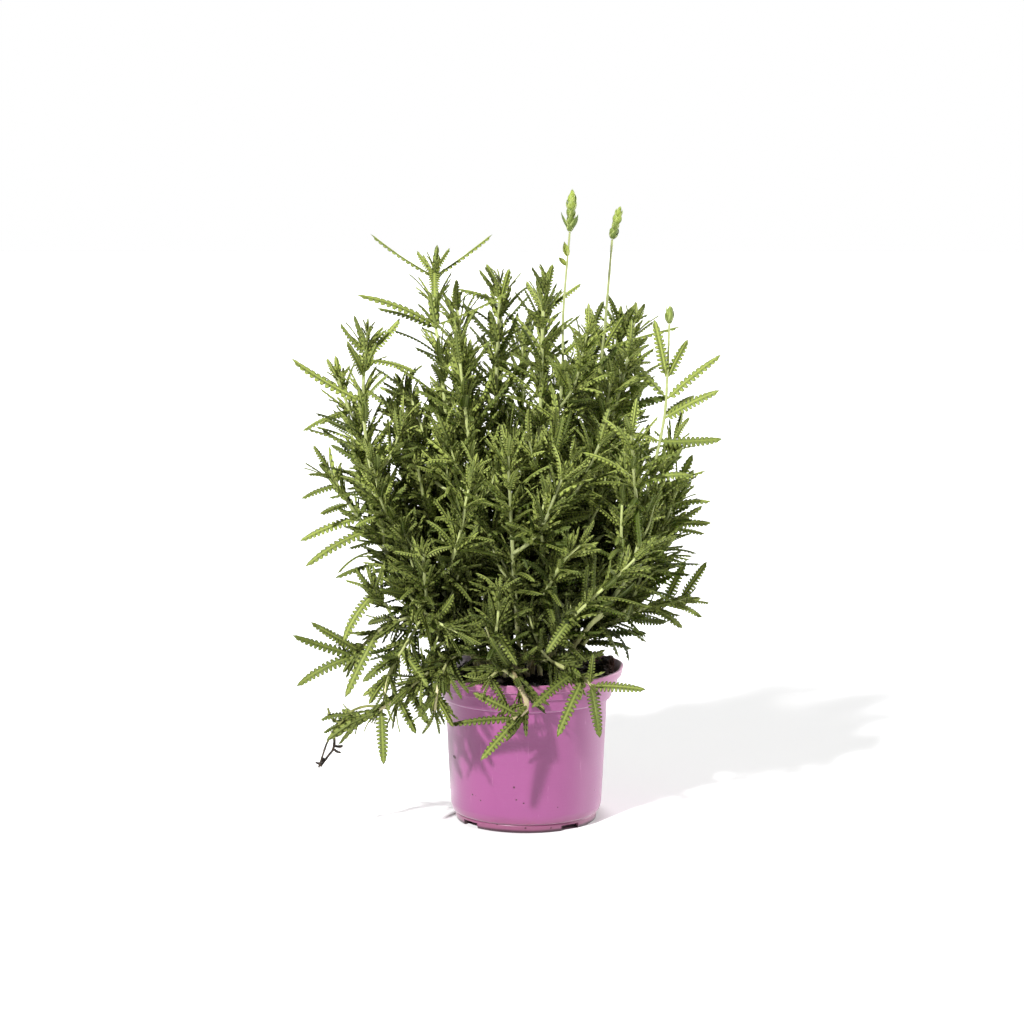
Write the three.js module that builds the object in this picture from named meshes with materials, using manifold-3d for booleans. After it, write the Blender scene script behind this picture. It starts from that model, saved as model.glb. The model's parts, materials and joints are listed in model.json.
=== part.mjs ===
// A toothed-leaf lavender in a nursery pot: a thin moulded plastic pot, filled with potting soil,
// and a bush of square leafy stems that stand in plain holes in the soil. Two of the stems end in
// green flower heads on long bare stalks, and a third in a bud.
//
// Millimetres, +Z up. The origin is the middle of the pot's underside, and -Y is the front.

import * as THREE from "three";
import { mergeVertices } from "three/addons/utils/BufferGeometryUtils.js";
import Module from "manifold-3d";

const wasm = await Module();
wasm.setup();

// ---- Driving dimensions, mm ----

const POT = {
  height: 100,
  rimRadius: 60,
  bodyTopRadius: 53.4,
  bodyFootRadius: 49.6,
  footRadius: 46.4,
  footHeight: 5.8,
  shoulderZ: 10.4,
  collarZ: 84.5,
  wall: 1.3,
  floorZ: 4, // the underside of the raised floor
  padRadius: 14, // the flat pad in the middle of the underside, level with the foot
  sides: 36,
};
const PUSH = { out: 4.2, up: 2.2 }; // how far the rim is pushed out and up on its right side
const NOTCH = { count: 4, width: 14, height: 3.6, firstAngle: 38 }; // drainage notches in the foot
const DRAIN = { count: 6, radius: 3, ring: 30 }; // drainage holes in the floor
const SEAT = 0.35; // the gap between pieces that rest in each other

const SOIL = {
  crownZ: 98,
  edgeZ: 94,
  rise: 2.4, // how much higher the soil lies on the right
  lump: 1.3,
  rings: [42, 24],
  holeDepth: 14,
  holeRadius: 2.1,
};

// Half diagonals of the square stems, and the length between their rings.
const STEM = { foot: 1.8, tip: 0.95, sideFoot: 1.25, stalkTip: 0.95, ringEvery: 44 };
// The diamond where a leaf grows: half its height, and its share of the face's width.
const DIAMOND = { half: 0.75, width: 0.66 };
const LEAF = { length: 39, width: 8.4, thickness: 1.3, toothDepth: 0.45, teethEvery: 12 };
const CLEAR = 0.4; // the least gap between the plant's pieces
const ROOT_LIFT = 0.08; // how far a leaf's root is lifted off its stem while it is tested for crossings
const SEED = 11;

const COLOUR = { pot: 0xc56fae, soil: 0x1f1812, leaf: 0x6f8a3a, head: 0x9fb052 };

// ---- The stems that give the bush its outline, placed by hand ----
//
// root: where the stem stands in the soil. way: its way points, the last being its tip. turn: how its
// faces are turned, in degrees. from: the length, back from the tip, where its regular leaf pairs
// begin. leaves: [back, x, y, z, bend, face], where back is the length back from the stem's tip at
// which the leaf grows, x, y and z its own tip, bend the angle of its arch and face how far its upper
// side leans to the front.

const STEMS = [
  {
    name: "flower_stem_tall", root: [4, -18], turn: 0, from: 95,
    way: [[11, -50, 188], [15, -62, 237], [22, -56, 294], [23, -50, 338], [27, -45, 388]],
    leaves: [
      [33, 23, -48, 382, 0.3, 1], [33, 19, -52, 371, 0.5, 1], [77, 40, -60, 327, 0.4, 1],
      [77, 13, -74, 322, 0.3, 1],
    ],
  },
  {
    name: "flower_stem_right", root: [13, -8], turn: 20, from: 80,
    way: [[36, -14, 205], [49, -10, 312], [51, -8, 332], [55, -5, 381]],
    leaves: [
      [70, 38, -2, 337, 0.25, 1], [70, 62, -8, 332, 0.2, 1], [70, 99, -14, 326, 0.1, 0.2],
      [74, 28, -20, 300, 0.5, 0.2],
    ],
  },
  {
    name: "bud_stem_right", root: [21, -17], turn: 0, from: 90,
    way: [[64, -52, 170], [75, -56, 220], [81, -56, 243], [87, -52, 272], [89, -48, 301], [90, -45, 330]],
    leaves: [
      [33, 80, -56, 334, 0.3, 1], [33, 102, -40, 320, 0.3, 0.6], [47, 123, -44, 311, 0.25, 0.6],
      [46, 58, -30, 315, 0.2, 0.2], [59, 121, -62, 290, 0.4, 1.2], [57, 107, -34, 284, 0.3, 0.5],
      [74, 124, -52, 258, -0.35, 1.5], [74, 60, -66, 262, 0.6, 0.8],
    ],
  },
  {
    name: "stem_tall_left", root: [-19, -5], turn: 90, from: 50,
    way: [[-44, -24, 200], [-55, -26, 307], [-58, -24, 328], [-59, -20, 366]],
    leaves: [
      [7, -99, -26, 386, -0.2, 0.2], [7, -22, -14, 385, -0.1, 0.1], [1, -58, -44, 346, 0.6, 3],
      [4, -49, -30, 377, 0.2, 1], [5, -70, -8, 374, -0.3, 0.4], [38, -108, -34, 348, 0.5, 0.7],
      [40, -96, -16, 338, 0.4, 0.3], [38, -10, -40, 351, -0.2, 0.2],
    ],
  },
  {
    name: "stem_left", root: [-21, -15], turn: 20, from: 54,
    way: [[-84, -34, 200], [-100, -36, 240], [-104, -34, 286], [-101, -30, 324]],
    leaves: [
      [14, -118, -36, 330, -0.2, 0.5], [14, -81, -22, 332, -0.4, 0.5], [6, -99, -40, 329, 0.2, 1],
      [28, -113, -52, 320, 0.2, 1], [44, -149, -40, 308, -0.35, 0.8], [44, -87, -60, 300, 0.3, 1],
      [18, -69, -50, 300, 0.5, 0.4],
    ],
  },
  {
    name: "stem_left_back", root: [-32, 5], turn: 60, from: 34,
    way: [[-80, 14, 190], [-112, 8, 262], [-123, 4, 292]],
    leaves: [
      [4, -130, 12, 303, 0.2, 1], [4, -114, -4, 300, 0.2, 1], [24, -134, -8, 262, 0.6, 0.6],
      [26, -146, 4, 256, 0.7, 0.4],
    ],
  },
  {
    name: "stem_top_left", root: [-11, 1], turn: 30, from: 24,
    way: [[-20, 4, 230], [-17, 10, 355]],
    leaves: [[16, -11, 2, 362, 0.2, 1], [16, -44, 14, 348, 0.4, 0.5], [6, -26, 20, 364, 0.1, 1]],
  },
  {
    name: "stem_top", root: [4, 10], turn: 80, from: 46,
    way: [[8, 20, 230], [13, 20, 357]],
    leaves: [
      [14, 11, 28, 360, 0.1, 1], [14, 17, 14, 364, 0.1, 1], [24, 2, 10, 348, 0.3, 0.6],
      [24, 36, 26, 351, 0.2, 0.3], [40, -8, 12, 347, 0.3, 0.3],
    ],
  },
  {
    name: "stem_top_right", root: [13, 8], turn: 10, from: 0,
    way: [[34, 18, 215], [43, 14, 322]],
    leaves: [],
  },
  {
    name: "stem_right_mid", root: [23, -3], turn: 40, from: 28,
    way: [[60, -34, 162], [94, -30, 218]],
    leaves: [
      [4, 106, -36, 246, 0.2, 1], [4, 108, -18, 234, 0.3, 0.6], [6, 118, -38, 216, 0.5, 0.6],
      [20, 118, -44, 203, 0.2, 1],
    ],
  },
  {
    name: "stem_right_low", root: [22, 5], turn: 15, from: 28,
    way: [[62, -12, 136], [104, -10, 148]],
    leaves: [
      [3, 117, -14, 173, 0.2, 0.8], [3, 120, -4, 144, 0.3, 0.4], [8, 114, -24, 138, 0.4, 0.7],
      [14, 104, -2, 172, 0.2, 0.7], [22, 101, -30, 132, 0.5, 1],
    ],
  },
  {
    name: "stem_right_back", root: [29, 10], turn: 70, from: 16,
    way: [[58, 24, 150], [98, 26, 192]],
    leaves: [[4, 118, 20, 186, 0.3, 0.6], [4, 117, 32, 203, 0.2, 0.8]],
  },
  {
    name: "stem_left_mid", root: [-27, -3], turn: 30, from: 56,
    way: [[-66, -12, 150], [-105, -22, 198], [-129, -18, 236]],
    leaves: [
      [3, -137, -20, 250, 0.2, 0.8], [6, -140, -34, 233, 0.3, 0.6], [14, -145, -26, 216, 0.5, 0.6],
      [28, -132, -40, 208, 0.4, 1], [39, -146, -30, 189, 0.5, 0.8], [49, -142, -40, 174, 0.6, 0.8],
    ],
  },
  {
    name: "stem_left_hanging", root: [-6, -17], turn: 80, from: 34,
    way: [[-56, -40, 142], [-92, -44, 134], [-113, -42, 114]],
    leaves: [
      [2, -148, -46, 97, 0.35, 1.2], [4, -150, -48, 131, -0.2, 0.9], [7, -139, -34, 137, 0.2, 0.6],
      [8, -132, -58, 138, 0.1, 1], [24, -116, -58, 92, 0.4, 1],
    ],
  },
  {
    name: "stem_left_low", root: [-14, -21], turn: 70, from: 66,
    way: [[-40, -36, 117], [-70, -60, 104], [-93, -64, 86], [-117, -58, 76]],
    leaves: [
      [27, -91, -70, 51, 0.2, 1], [40, -70, -78, 73, 0.4, 1], [49, -62, -82, 80, 0.4, 1],
      [57, -46, -86, 87, 0.5, 1], [2, -130, -62, 70, 0.4, 1],
    ],
  },
  {
    name: "stem_front_hook", root: [1, -26], turn: 85, from: 30,
    way: [[-10, -58, 112], [0, -75, 92], [-9, -80, 82]],
    leaves: [
      [2, -49, -76, 79, 0.2, 0.6], [5, -34, -84, 101, 0.3, 1.4], [6, -29, -104, 62, 0.3, 1],
      [15, -19, -72, 84, 0.5, 1],
    ],
  },
  {
    name: "stem_front_right", root: [9, -25], turn: 45, from: 28,
    way: [[10, -42, 114], [31, -66, 109], [42, -76, 103]],
    leaves: [
      [1, 75, -84, 103, 0.3, 1], [1, 46, -90, 73, 0.4, 1], [3, 42, -74, 124, 0.2, 1],
      [9, 19, -92, 74, 0.4, 1], [18, 3, -92, 93, 0.4, 1],
    ],
  },
];

// The rest of the bush: its tips are spread over a rounded dome by the golden angle.
const DOME = {
  count: 13, turnStep: 137.508, firstAngle: 72, lowest: 84, highest: 16, // degrees, the last two from upright
  radius: 92, depthShare: 1.04, floorZ: 128, rise: 222, rootRadius: 31,
};

// Regular leaf pairs stand crosswise, and closest at the tip. The solids have every third pair.
const PAIR = { first: 1.5, step: 10.5, growth: 0.9, every: 3, reach: 0.74, sideReach: 0.6 };
// Side shoots: their length, the shares of the stem's length between which they grow, how far they
// swing out, the shortest stem that has one, and the length past which a stem has two.
const SIDE = { length: 72, lowest: 0.24, highest: 0.62, swing: 62, shortest: 105, longStem: 215 };

const FLOWERS = [
  { name: "flower_head_tall", on: "flower_stem_tall", length: 27, width: 12.5, whorls: 5, lean: [1.8, 0, 27] },
  { name: "flower_head_right", on: "flower_stem_right", length: 21.5, width: 11, whorls: 4, lean: [5, 0, 21] },
  { name: "flower_bud_right", on: "bud_stem_right", length: 12, width: 8, whorls: 2, lean: [0.3, 0, 10] },
];

// ---- Small helpers ----

const DEGREE = Math.PI / 180;
const UP = new THREE.Vector3(0, 0, 1);
const vector = (point) => new THREE.Vector3(...point);
const between = (low, high, share) => low + (high - low) * share;
const clamp = (value, low, high) => Math.min(high, Math.max(low, value));

// A repeatable draw between 0 and 1, for a shoot, a leaf of it and a purpose.
function draw(shoot, leaf, purpose) {
  const wave = Math.sin(shoot * 12.9898 + leaf * 78.233 + purpose * 37.719 + SEED) * 43758.5453;
  return wave - Math.floor(wave);
}

// The part of a vector that stands square to a direction, with length 1.
const squareTo = (direction, wanted) =>
  wanted.clone().addScaledVector(direction, -wanted.dot(direction)).normalize();

// The sum of vectors, each with its weight.
function weighted(...terms) {
  const sum = new THREE.Vector3();
  for (const [term, weight] of terms) sum.addScaledVector(term, weight);
  return sum;
}

function solidFrom(places, triangles) {
  const mesh = new wasm.Mesh({ numProp: 3, vertProperties: places, triVerts: new Uint32Array(triangles) });
  return new wasm.Manifold(mesh);
}

// A closed geometry as a solid. Triangles that collapse on an axis are dropped.
function solidOf(geometry) {
  const bare = new THREE.BufferGeometry().setAttribute("position", geometry.getAttribute("position"));
  bare.setIndex(geometry.index);
  const merged = mergeVertices(bare, 1e-4);
  const corners = merged.index.array;
  const kept = [];
  for (let i = 0; i < corners.length; i += 3) {
    const [a, b, c] = [corners[i], corners[i + 1], corners[i + 2]];
    if (a !== b && b !== c && c !== a) kept.push(a, b, c);
  }
  return solidFrom(merged.getAttribute("position").array, kept);
}

function meshOf(name, solid, colour, roughness) {
  const { numVert, numProp, vertProperties, triVerts } = solid.getMesh();
  const places = new Float32Array(numVert * 3);
  for (let i = 0; i < numVert; i++) {
    places.set(vertProperties.subarray(i * numProp, i * numProp + 3), i * 3);
  }
  const geometry = new THREE.BufferGeometry().setAttribute("position", new THREE.BufferAttribute(places, 3));
  geometry.setIndex(new THREE.BufferAttribute(new Uint32Array(triVerts), 1));
  geometry.computeVertexNormals();
  const material = new THREE.MeshStandardMaterial({ color: colour, roughness, metalness: 0 });
  const mesh = new THREE.Mesh(geometry, material);
  mesh.name = name;
  return mesh;
}

// A skin is a growing list of points and triangles.
const newSkin = () => ({ points: [], triangles: [] });
const addPoint = (skin, point) => skin.points.push(point) - 1;
const addPoints = (skin, points) => points.map((point) => addPoint(skin, point));
const closed = (skin) =>
  solidFrom(new Float32Array(skin.points.flatMap((point) => point.toArray())), skin.triangles);

// Fills a convex ring of point numbers that runs anticlockwise seen from outside.
function capRing(skin, ring) {
  for (let i = 1; i + 1 < ring.length; i++) skin.triangles.push(ring[0], ring[i], ring[i + 1]);
}

// Joins rings of equal count, that run anticlockwise about the axis they are listed along.
function loft(rings) {
  const skin = newSkin();
  const numbers = rings.map((ring) => addPoints(skin, ring));
  numbers.slice(1).forEach((upper, r) => {
    const lower = numbers[r];
    lower.forEach((a, i) => {
      const j = (i + 1) % lower.length;
      skin.triangles.push(a, lower[j], upper[j], a, upper[j], upper[i]);
    });
  });
  capRing(skin, [...numbers[0]].reverse());
  capRing(skin, numbers.at(-1));
  return closed(skin);
}

// A profile of radii and heights turned about +Z, with its first corner at the front.
function turned(profile, sides) {
  const points = profile.map(([radius, z]) => new THREE.Vector2(radius, z));
  return new THREE.LatheGeometry(points, sides).rotateX(90 * DEGREE);
}

function moveEach(geometry, move) {
  const places = geometry.getAttribute("position");
  for (let i = 0; i < places.count; i++) {
    places.setXYZ(i, ...move(places.getX(i), places.getY(i), places.getZ(i)));
  }
  return geometry;
}

// ---- The pot ----

function innerRadius(z) {
  const bottom = POT.floorZ + POT.wall;
  return between(POT.footRadius - 1.4, POT.bodyTopRadius - POT.wall, (z - bottom) / (POT.collarZ - bottom));
}

// The rim is pushed out and up on the right, as a soft pot is by its root ball.
function pushed(x, y, z) {
  const share = Math.max(0, (z - POT.collarZ) / (POT.height - POT.collarZ));
  const side = Math.max(0, x / POT.rimRadius) ** 2 * share;
  const grow = 1 + (PUSH.out * side) / POT.rimRadius;
  return [x * grow, y * grow, z + PUSH.up * side];
}

function potSolid() {
  const { height, rimRadius, padRadius, floorZ, footRadius, footHeight, shoulderZ, collarZ, wall } = POT;
  const outside = [
    [0, 0],
    [padRadius, 0],
    [padRadius + 2, floorZ],
    [footRadius - 3.8, floorZ],
    [footRadius - 3, 0],
    [footRadius - 0.2, 0],
    [footRadius + 0.4, footHeight],
    [footRadius + 2.2, footHeight + 0.8],
    [POT.bodyFootRadius, shoulderZ],
    [POT.bodyTopRadius, collarZ - 1.5],
    [rimRadius - 3.6, collarZ + 0.6],
    [rimRadius - 2, height - 7],
    [rimRadius, height - 3.2],
    [rimRadius, height],
  ];
  const inside = [
    [rimRadius - 1.6, height],
    [rimRadius - 5, collarZ + 1.2],
    [innerRadius(collarZ - 1), collarZ - 1],
    [innerRadius(floorZ + wall), floorZ + wall],
    [padRadius + 3, floorZ + wall],
    [padRadius + 1, wall],
    [0, wall],
  ];
  let body = solidOf(moveEach(turned([...outside, ...inside], POT.sides), pushed));
  for (let i = 0; i < NOTCH.count; i++) {
    const cut = new THREE.BoxGeometry(NOTCH.width, 8, NOTCH.height * 2)
      .translate(0, -footRadius, 0)
      .rotateZ((NOTCH.firstAngle + (i * 360) / NOTCH.count) * DEGREE);
    body = body.subtract(solidOf(cut));
  }
  for (let i = 0; i < DRAIN.count; i++) {
    const cut = new THREE.CylinderGeometry(DRAIN.radius, DRAIN.radius, 4 * wall, 8)
      .rotateX(90 * DEGREE)
      .translate(0, -DRAIN.ring, floorZ + wall / 2)
      .rotateZ((i * 360 * DEGREE) / DRAIN.count);
    body = body.subtract(solidOf(cut));
  }
  return body;
}

// ---- The soil ----

// The height of the soil's lumpy top: a low mound that rises to the right.
function soilTop(x, y) {
  const reach = Math.hypot(x, y) / (POT.rimRadius - 4);
  const mound = between(SOIL.crownZ, SOIL.edgeZ, reach * reach) + SOIL.rise * Math.max(0, x / POT.rimRadius);
  return mound + SOIL.lump * Math.sin(x * 0.31 + 1) * Math.cos(y * 0.27 - x * 0.11);
}

function soilSolid(plants) {
  const { floorZ, wall, collarZ, rimRadius } = POT;
  const bottom = floorZ + wall + SEAT;
  const slope = 3.4 / (POT.height - collarZ - 1.2); // of the collar's inside
  const edge = rimRadius - 5 - SEAT + slope * (SOIL.edgeZ - collarZ - 3);
  const profile = [
    [0, bottom],
    [innerRadius(bottom) - SEAT, bottom],
    [innerRadius(collarZ - 1) - SEAT, collarZ - 1],
    [rimRadius - 5 - SEAT, collarZ + 1.8],
    ...[edge, ...SOIL.rings, 0].map((radius) => [radius, SOIL.edgeZ]),
  ];
  const geometry = moveEach(turned(profile, POT.sides), (x, y, z) => {
    if (z < SOIL.edgeZ) return pushed(x, y, z);
    const [outX, outY] = pushed(x, y, SOIL.edgeZ - 2);
    return [outX, outY, soilTop(x, y)];
  });
  let body = solidOf(geometry);
  for (const { root, turn } of plants) {
    const bottomZ = soilTop(...root) - SOIL.holeDepth - SEAT;
    const depth = SOIL.holeDepth + 10;
    const hole = new THREE.CylinderGeometry(SOIL.holeRadius, SOIL.holeRadius, depth, 4)
      .rotateX(90 * DEGREE)
      .rotateZ((45 + turn) * DEGREE)
      .translate(...root, bottomZ + depth / 2);
    body = body.subtract(solidOf(hole));
  }
  return body;
}

// ---- The lines that shoots grow along ----

// A smooth line through points, as a uniform Catmull-Rom spline; before sets the way it sets off.
function smoothLine(before, points, steps = 16) {
  const last = points.at(-1);
  const ends = [before, ...points, weighted([last, 2], [points.at(-2), -1])];
  const line = [points[0]];
  for (let k = 1; k + 2 < ends.length; k++) {
    for (let i = 1; i <= steps; i++) {
      const t = i / steps;
      line.push(
        weighted(
          [ends[k - 1], -0.5 * t + t * t - 0.5 * t ** 3],
          [ends[k], 1 - 2.5 * t * t + 1.5 * t ** 3],
          [ends[k + 1], 0.5 * t + 2 * t * t - 1.5 * t ** 3],
          [ends[k + 2], -0.5 * t * t + 0.5 * t ** 3],
        ),
      );
    }
  }
  return line;
}

// The line with its direction, its length so far, and a side direction that is carried without twisting.
function framed(line, side) {
  let run = 0;
  let across = side;
  return line.map((point, i) => {
    const ahead = line[Math.min(i + 1, line.length - 1)];
    const behind = line[Math.max(i - 1, 0)];
    const along = ahead.clone().sub(behind).normalize();
    across = squareTo(along, across);
    if (i > 0) run += point.distanceTo(behind);
    return { point, along, across, run };
  });
}

// The place on a framed line that lies some length back from its tip.
function backFromTip(frames, length) {
  const run = frames.at(-1).run - length;
  const i = Math.max(1, frames.findIndex((frame) => frame.run >= run - 1e-6));
  const [a, b] = [frames[i - 1], frames[i]];
  const share = (run - a.run) / (b.run - a.run);
  const along = b.point.clone().sub(a.point).normalize();
  const across = squareTo(along, a.across.clone().lerp(b.across, share));
  return { point: a.point.clone().lerp(b.point, share), along, across };
}

const pairPlace = (pair) => PAIR.first + PAIR.step * pair + PAIR.growth * pair * pair;

// ---- Shoots: square stems, with a small diamond on their faces for each thing that grows there ----

// The line of a shoot as even straight lengths, and the rings of its stem.
function shootAlong(index, line, side, radii) {
  const dense = framed(line, side);
  const count = clamp(Math.round(dense.at(-1).run / STEM.ringEvery), 3, 7);
  const stations = [];
  for (let i = 0; i <= count; i++) {
    stations.push(backFromTip(dense, dense.at(-1).run * (1 - i / count)).point);
  }
  return { index, rings: framed(stations, side), radii, growths: [] };
}

const lengthOf = ({ rings }) => rings.at(-1).run;

// A main stem stands upright in its hole before it leans out.
function mainShoot({ root, way, turn }, index, tipRadius) {
  const ground = soilTop(...root);
  const foot = vector([...root, ground - SOIL.holeDepth]);
  const collar = vector([...root, ground + 2]);
  const points = way.map(vector);
  const before = collar.clone().addScaledVector(UP, -0.6 * points[0].distanceTo(collar));
  const side = vector([Math.cos(turn * DEGREE), Math.sin(turn * DEGREE), 0]);
  const shoot = shootAlong(index, smoothLine(before, [collar, ...points]), side, [STEM.foot, tipRadius]);
  shoot.rings = framed([foot, ...shoot.rings.map((ring) => ring.point)], side);
  for (const ring of shoot.rings.slice(0, 2)) Object.assign(ring, { along: UP, across: side });
  return shoot;
}

// A side shoot slants outwards and turns up. swing is its heading, in degrees, from the direction
// that leads away from the plant's middle.
function sideShoot(stem, index, back, swing, length) {
  const { point, across } = backFromTip(stem.rings, back);
  const outward = squareTo(UP, vector([point.x, point.y, 0])).applyAxisAngle(UP, swing * DEGREE);
  const along = (out, up) => weighted([point, 1], [outward, out * length], [UP, up * length]);
  const line = smoothLine(along(-0.34, -0.1), [point, along(0.34, 0.26), along(0.6, 0.76)]);
  return shootAlong(index, line, across, [STEM.sideFoot, STEM.tip]);
}

// Corner number 0 to 3 of a ring of the stem.
function cornerOf({ rings, radii }, ring, corner, margin = 0) {
  const { point, along, across, run } = rings[ring];
  const radius = between(...radii, run / rings.at(-1).run) + margin;
  const angle = (45 + 90 * corner) * DEGREE;
  const up = along.clone().cross(across);
  return weighted([point, 1], [across, radius * Math.cos(angle)], [up, radius * Math.sin(angle)]);
}

const stemSolid = (shoot, margin = 0) =>
  loft(shoot.rings.map((_, ring) => [0, 1, 2, 3].map((corner) => cornerOf(shoot, ring, corner, margin))));

// The face of a stem, number 0 to 3, that looks most nearly along a direction.
function faceTowards({ along, across }, direction) {
  const up = along.clone().cross(across);
  const quarter = Math.round(Math.atan2(direction.dot(up), direction.dot(across)) / (90 * DEGREE));
  return (quarter + 3) % 4;
}

// The diamond on a face at a length back from the tip: its middle, and its top, left, bottom and right
// corners as they run seen from outside. It moves along the stem to stay clear of others and of rings,
// and is null where there is no room.
function diamondOn(shoot, face, wantedBack) {
  const nudges = Array.from({ length: 41 }, (_, i) => (i % 2 ? 0.4 : -0.4) * Math.ceil(i / 2));
  const fits = (back) => {
    const run = lengthOf(shoot) - back;
    const inRing = shoot.rings.every((ring) => Math.abs(ring.run - run) >= DIAMOND.half + 0.3);
    const gap = 2 * DIAMOND.half + 0.3;
    const isFree = shoot.growths.every(
      ({ diamond }) => diamond.face !== face || Math.abs(diamond.back - back) >= gap,
    );
    return inRing && isFree && back > 0;
  };
  const back = nudges.map((nudge) => wantedBack + nudge).find(fits);
  if (back === undefined) return null;
  const run = lengthOf(shoot) - back;
  const ring = shoot.rings.findIndex((next) => next.run > run) - 1;
  const [lower, upper] = [shoot.rings[ring], shoot.rings[ring + 1]];
  const share = (run - lower.run) / (upper.run - lower.run);
  const edge = (corner) => cornerOf(shoot, ring, corner).lerp(cornerOf(shoot, ring + 1, corner), share);
  const [left, right] = [edge(face), edge((face + 1) % 4)];
  const middle = left.clone().lerp(right, 0.5);
  const halfSide = right.sub(left).multiplyScalar(0.5 * DIAMOND.width);
  const along = upper.point.clone().sub(lower.point).normalize();
  const outward = halfSide.clone().normalize().cross(along);
  const corners = [[along, DIAMOND.half], [halfSide, -1], [along, -DIAMOND.half], [halfSide, 1]];
  const placedCorners = corners.map((step) => weighted([middle, 1], step));
  return { face, back, ring, middle, along, outward, corners: placedCorners };
}

// The diamond's corners, started so that they follow four directions most nearly.
function startedAt(numbers, corners, middle, directions) {
  const spokes = corners.map((corner) => corner.clone().sub(middle).normalize());
  const fit = (shift) =>
    directions.reduce((sum, direction, i) => sum + direction.dot(spokes[(i + shift) % 4]), 0);
  const best = [0, 1, 2, 3].reduce((a, b) => (fit(b) > fit(a) ? b : a));
  return directions.map((_, i) => numbers[(i + best) % 4]);
}

// One face between two rings, with a hole for each diamond on it.
function skinFace(skin, [lowLeft, lowRight, highRight, highLeft], diamonds) {
  if (diamonds.length === 0) {
    skin.triangles.push(lowLeft, lowRight, highRight, lowLeft, highRight, highLeft);
    return;
  }
  const [first, last] = [diamonds[0], diamonds.at(-1)];
  skin.triangles.push(lowLeft, lowRight, first[2], last[0], highRight, highLeft);
  diamonds.forEach(([top, left, , right], i) => {
    const above = diamonds[i + 1];
    if (above) {
      skin.triangles.push(left, top, above[1], top, above[2], above[1]);
      skin.triangles.push(right, above[3], top, top, above[3], above[2]);
      skin.triangles.push(lowLeft, left, above[1], lowRight, above[3], right);
    }
  });
  skin.triangles.push(lowLeft, first[2], first[1], lowRight, first[3], first[2]);
  skin.triangles.push(lowLeft, last[1], highLeft, lowRight, highRight, last[3]);
  skin.triangles.push(last[1], last[0], highLeft, last[0], last[3], highRight);
}

// The stem and all that grows from it. A side shoot starts from the diamond it grows on.
function skinShoot(skin, shoot, base) {
  const rings = shoot.rings.map((_, ring) =>
    ring === 0 && base ? base : addPoints(skin, [0, 1, 2, 3].map((corner) => cornerOf(shoot, ring, corner))),
  );
  if (!base) capRing(skin, [...rings[0]].reverse());
  capRing(skin, rings.at(-1));
  for (let ring = 0; ring + 1 < rings.length; ring++) {
    for (let face = 0; face < 4; face++) {
      const here = shoot.growths.filter(({ diamond }) => diamond.ring === ring && diamond.face === face);
      here.sort((a, b) => b.diamond.back - a.diamond.back);
      const diamonds = here.map(({ diamond }) => addPoints(skin, diamond.corners));
      const next = (face + 1) % 4;
      const [low, high] = [rings[ring], rings[ring + 1]];
      skinFace(skin, [low[face], low[next], high[next], high[face]], diamonds);
      here.forEach(({ diamond, leaf, shoot: side }, i) => {
        const wanted = leaf ? leafDirections(leaf) : ringDirections(side);
        const start = startedAt(diamonds[i], diamond.corners, diamond.middle, wanted);
        if (leaf) skinLeaf(skin, start, leaf);
        else skinShoot(skin, side, start);
      });
    }
  }
}

function ringDirections(shoot) {
  return [0, 1, 2, 3].map((corner) => cornerOf(shoot, 0, corner).sub(shoot.rings[0].point).normalize());
}

// ---- Leaves ----

// A leaf that leans out from a face, at a pitch from the stem, turned sideways and rolled.
function growingLeaf({ middle, along, outward }, turn, pitch, roll) {
  const out = outward.clone().applyAxisAngle(along, turn);
  const ahead = weighted([along, Math.cos(pitch)], [out, Math.sin(pitch)]);
  const normal = weighted([along, Math.sin(pitch)], [out, -Math.cos(pitch)]).applyAxisAngle(ahead, roll);
  return { point: middle, ahead, normal, side: normal.clone().cross(ahead) };
}

// A leaf whose tip is given. Its length comes from the chord of its arch.
function aimedLeaf(diamond, tip, bend, face) {
  const chord = tip.clone().sub(diamond.middle);
  const length = (chord.length() * bend) / 2 / Math.sin(bend / 2);
  chord.normalize();
  const above = squareTo(chord, vector([0, -face, 1]));
  const ahead = weighted([chord, Math.cos(bend / 2)], [above, Math.sin(bend / 2)]);
  const normal = weighted([chord, -Math.sin(bend / 2)], [above, Math.cos(bend / 2)]);
  const place = { point: diamond.middle, ahead, normal, side: normal.clone().cross(ahead) };
  return { place, length, width: LEAF.width * clamp(length / 32, 0.5, 1), bend };
}

// A point of an arched leaf: u along it, v to its side and w above it.
function onLeaf({ point, ahead, normal, side }, length, bend, u, v, w) {
  const angle = bend * u;
  const forward = (length * Math.sin(angle)) / bend + w * Math.sin(angle);
  const rise = w * Math.cos(angle) - (length * (1 - Math.cos(angle))) / bend;
  return weighted([point, 1], [ahead, forward], [normal, rise], [side, v]);
}

// The directions of a leaf's upper ridge, left edge, lower ridge and right edge, seen from its tip.
function leafDirections({ place: { normal, side } }) {
  return [normal, side.clone().negate(), normal.clone().negate(), side];
}

// The blade's outline as a share of its widest, at u along it.
const bladeShare = (u) => Math.min(1, 0.5 + 3 * u) * Math.sqrt(1 - u ** 4);

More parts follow.
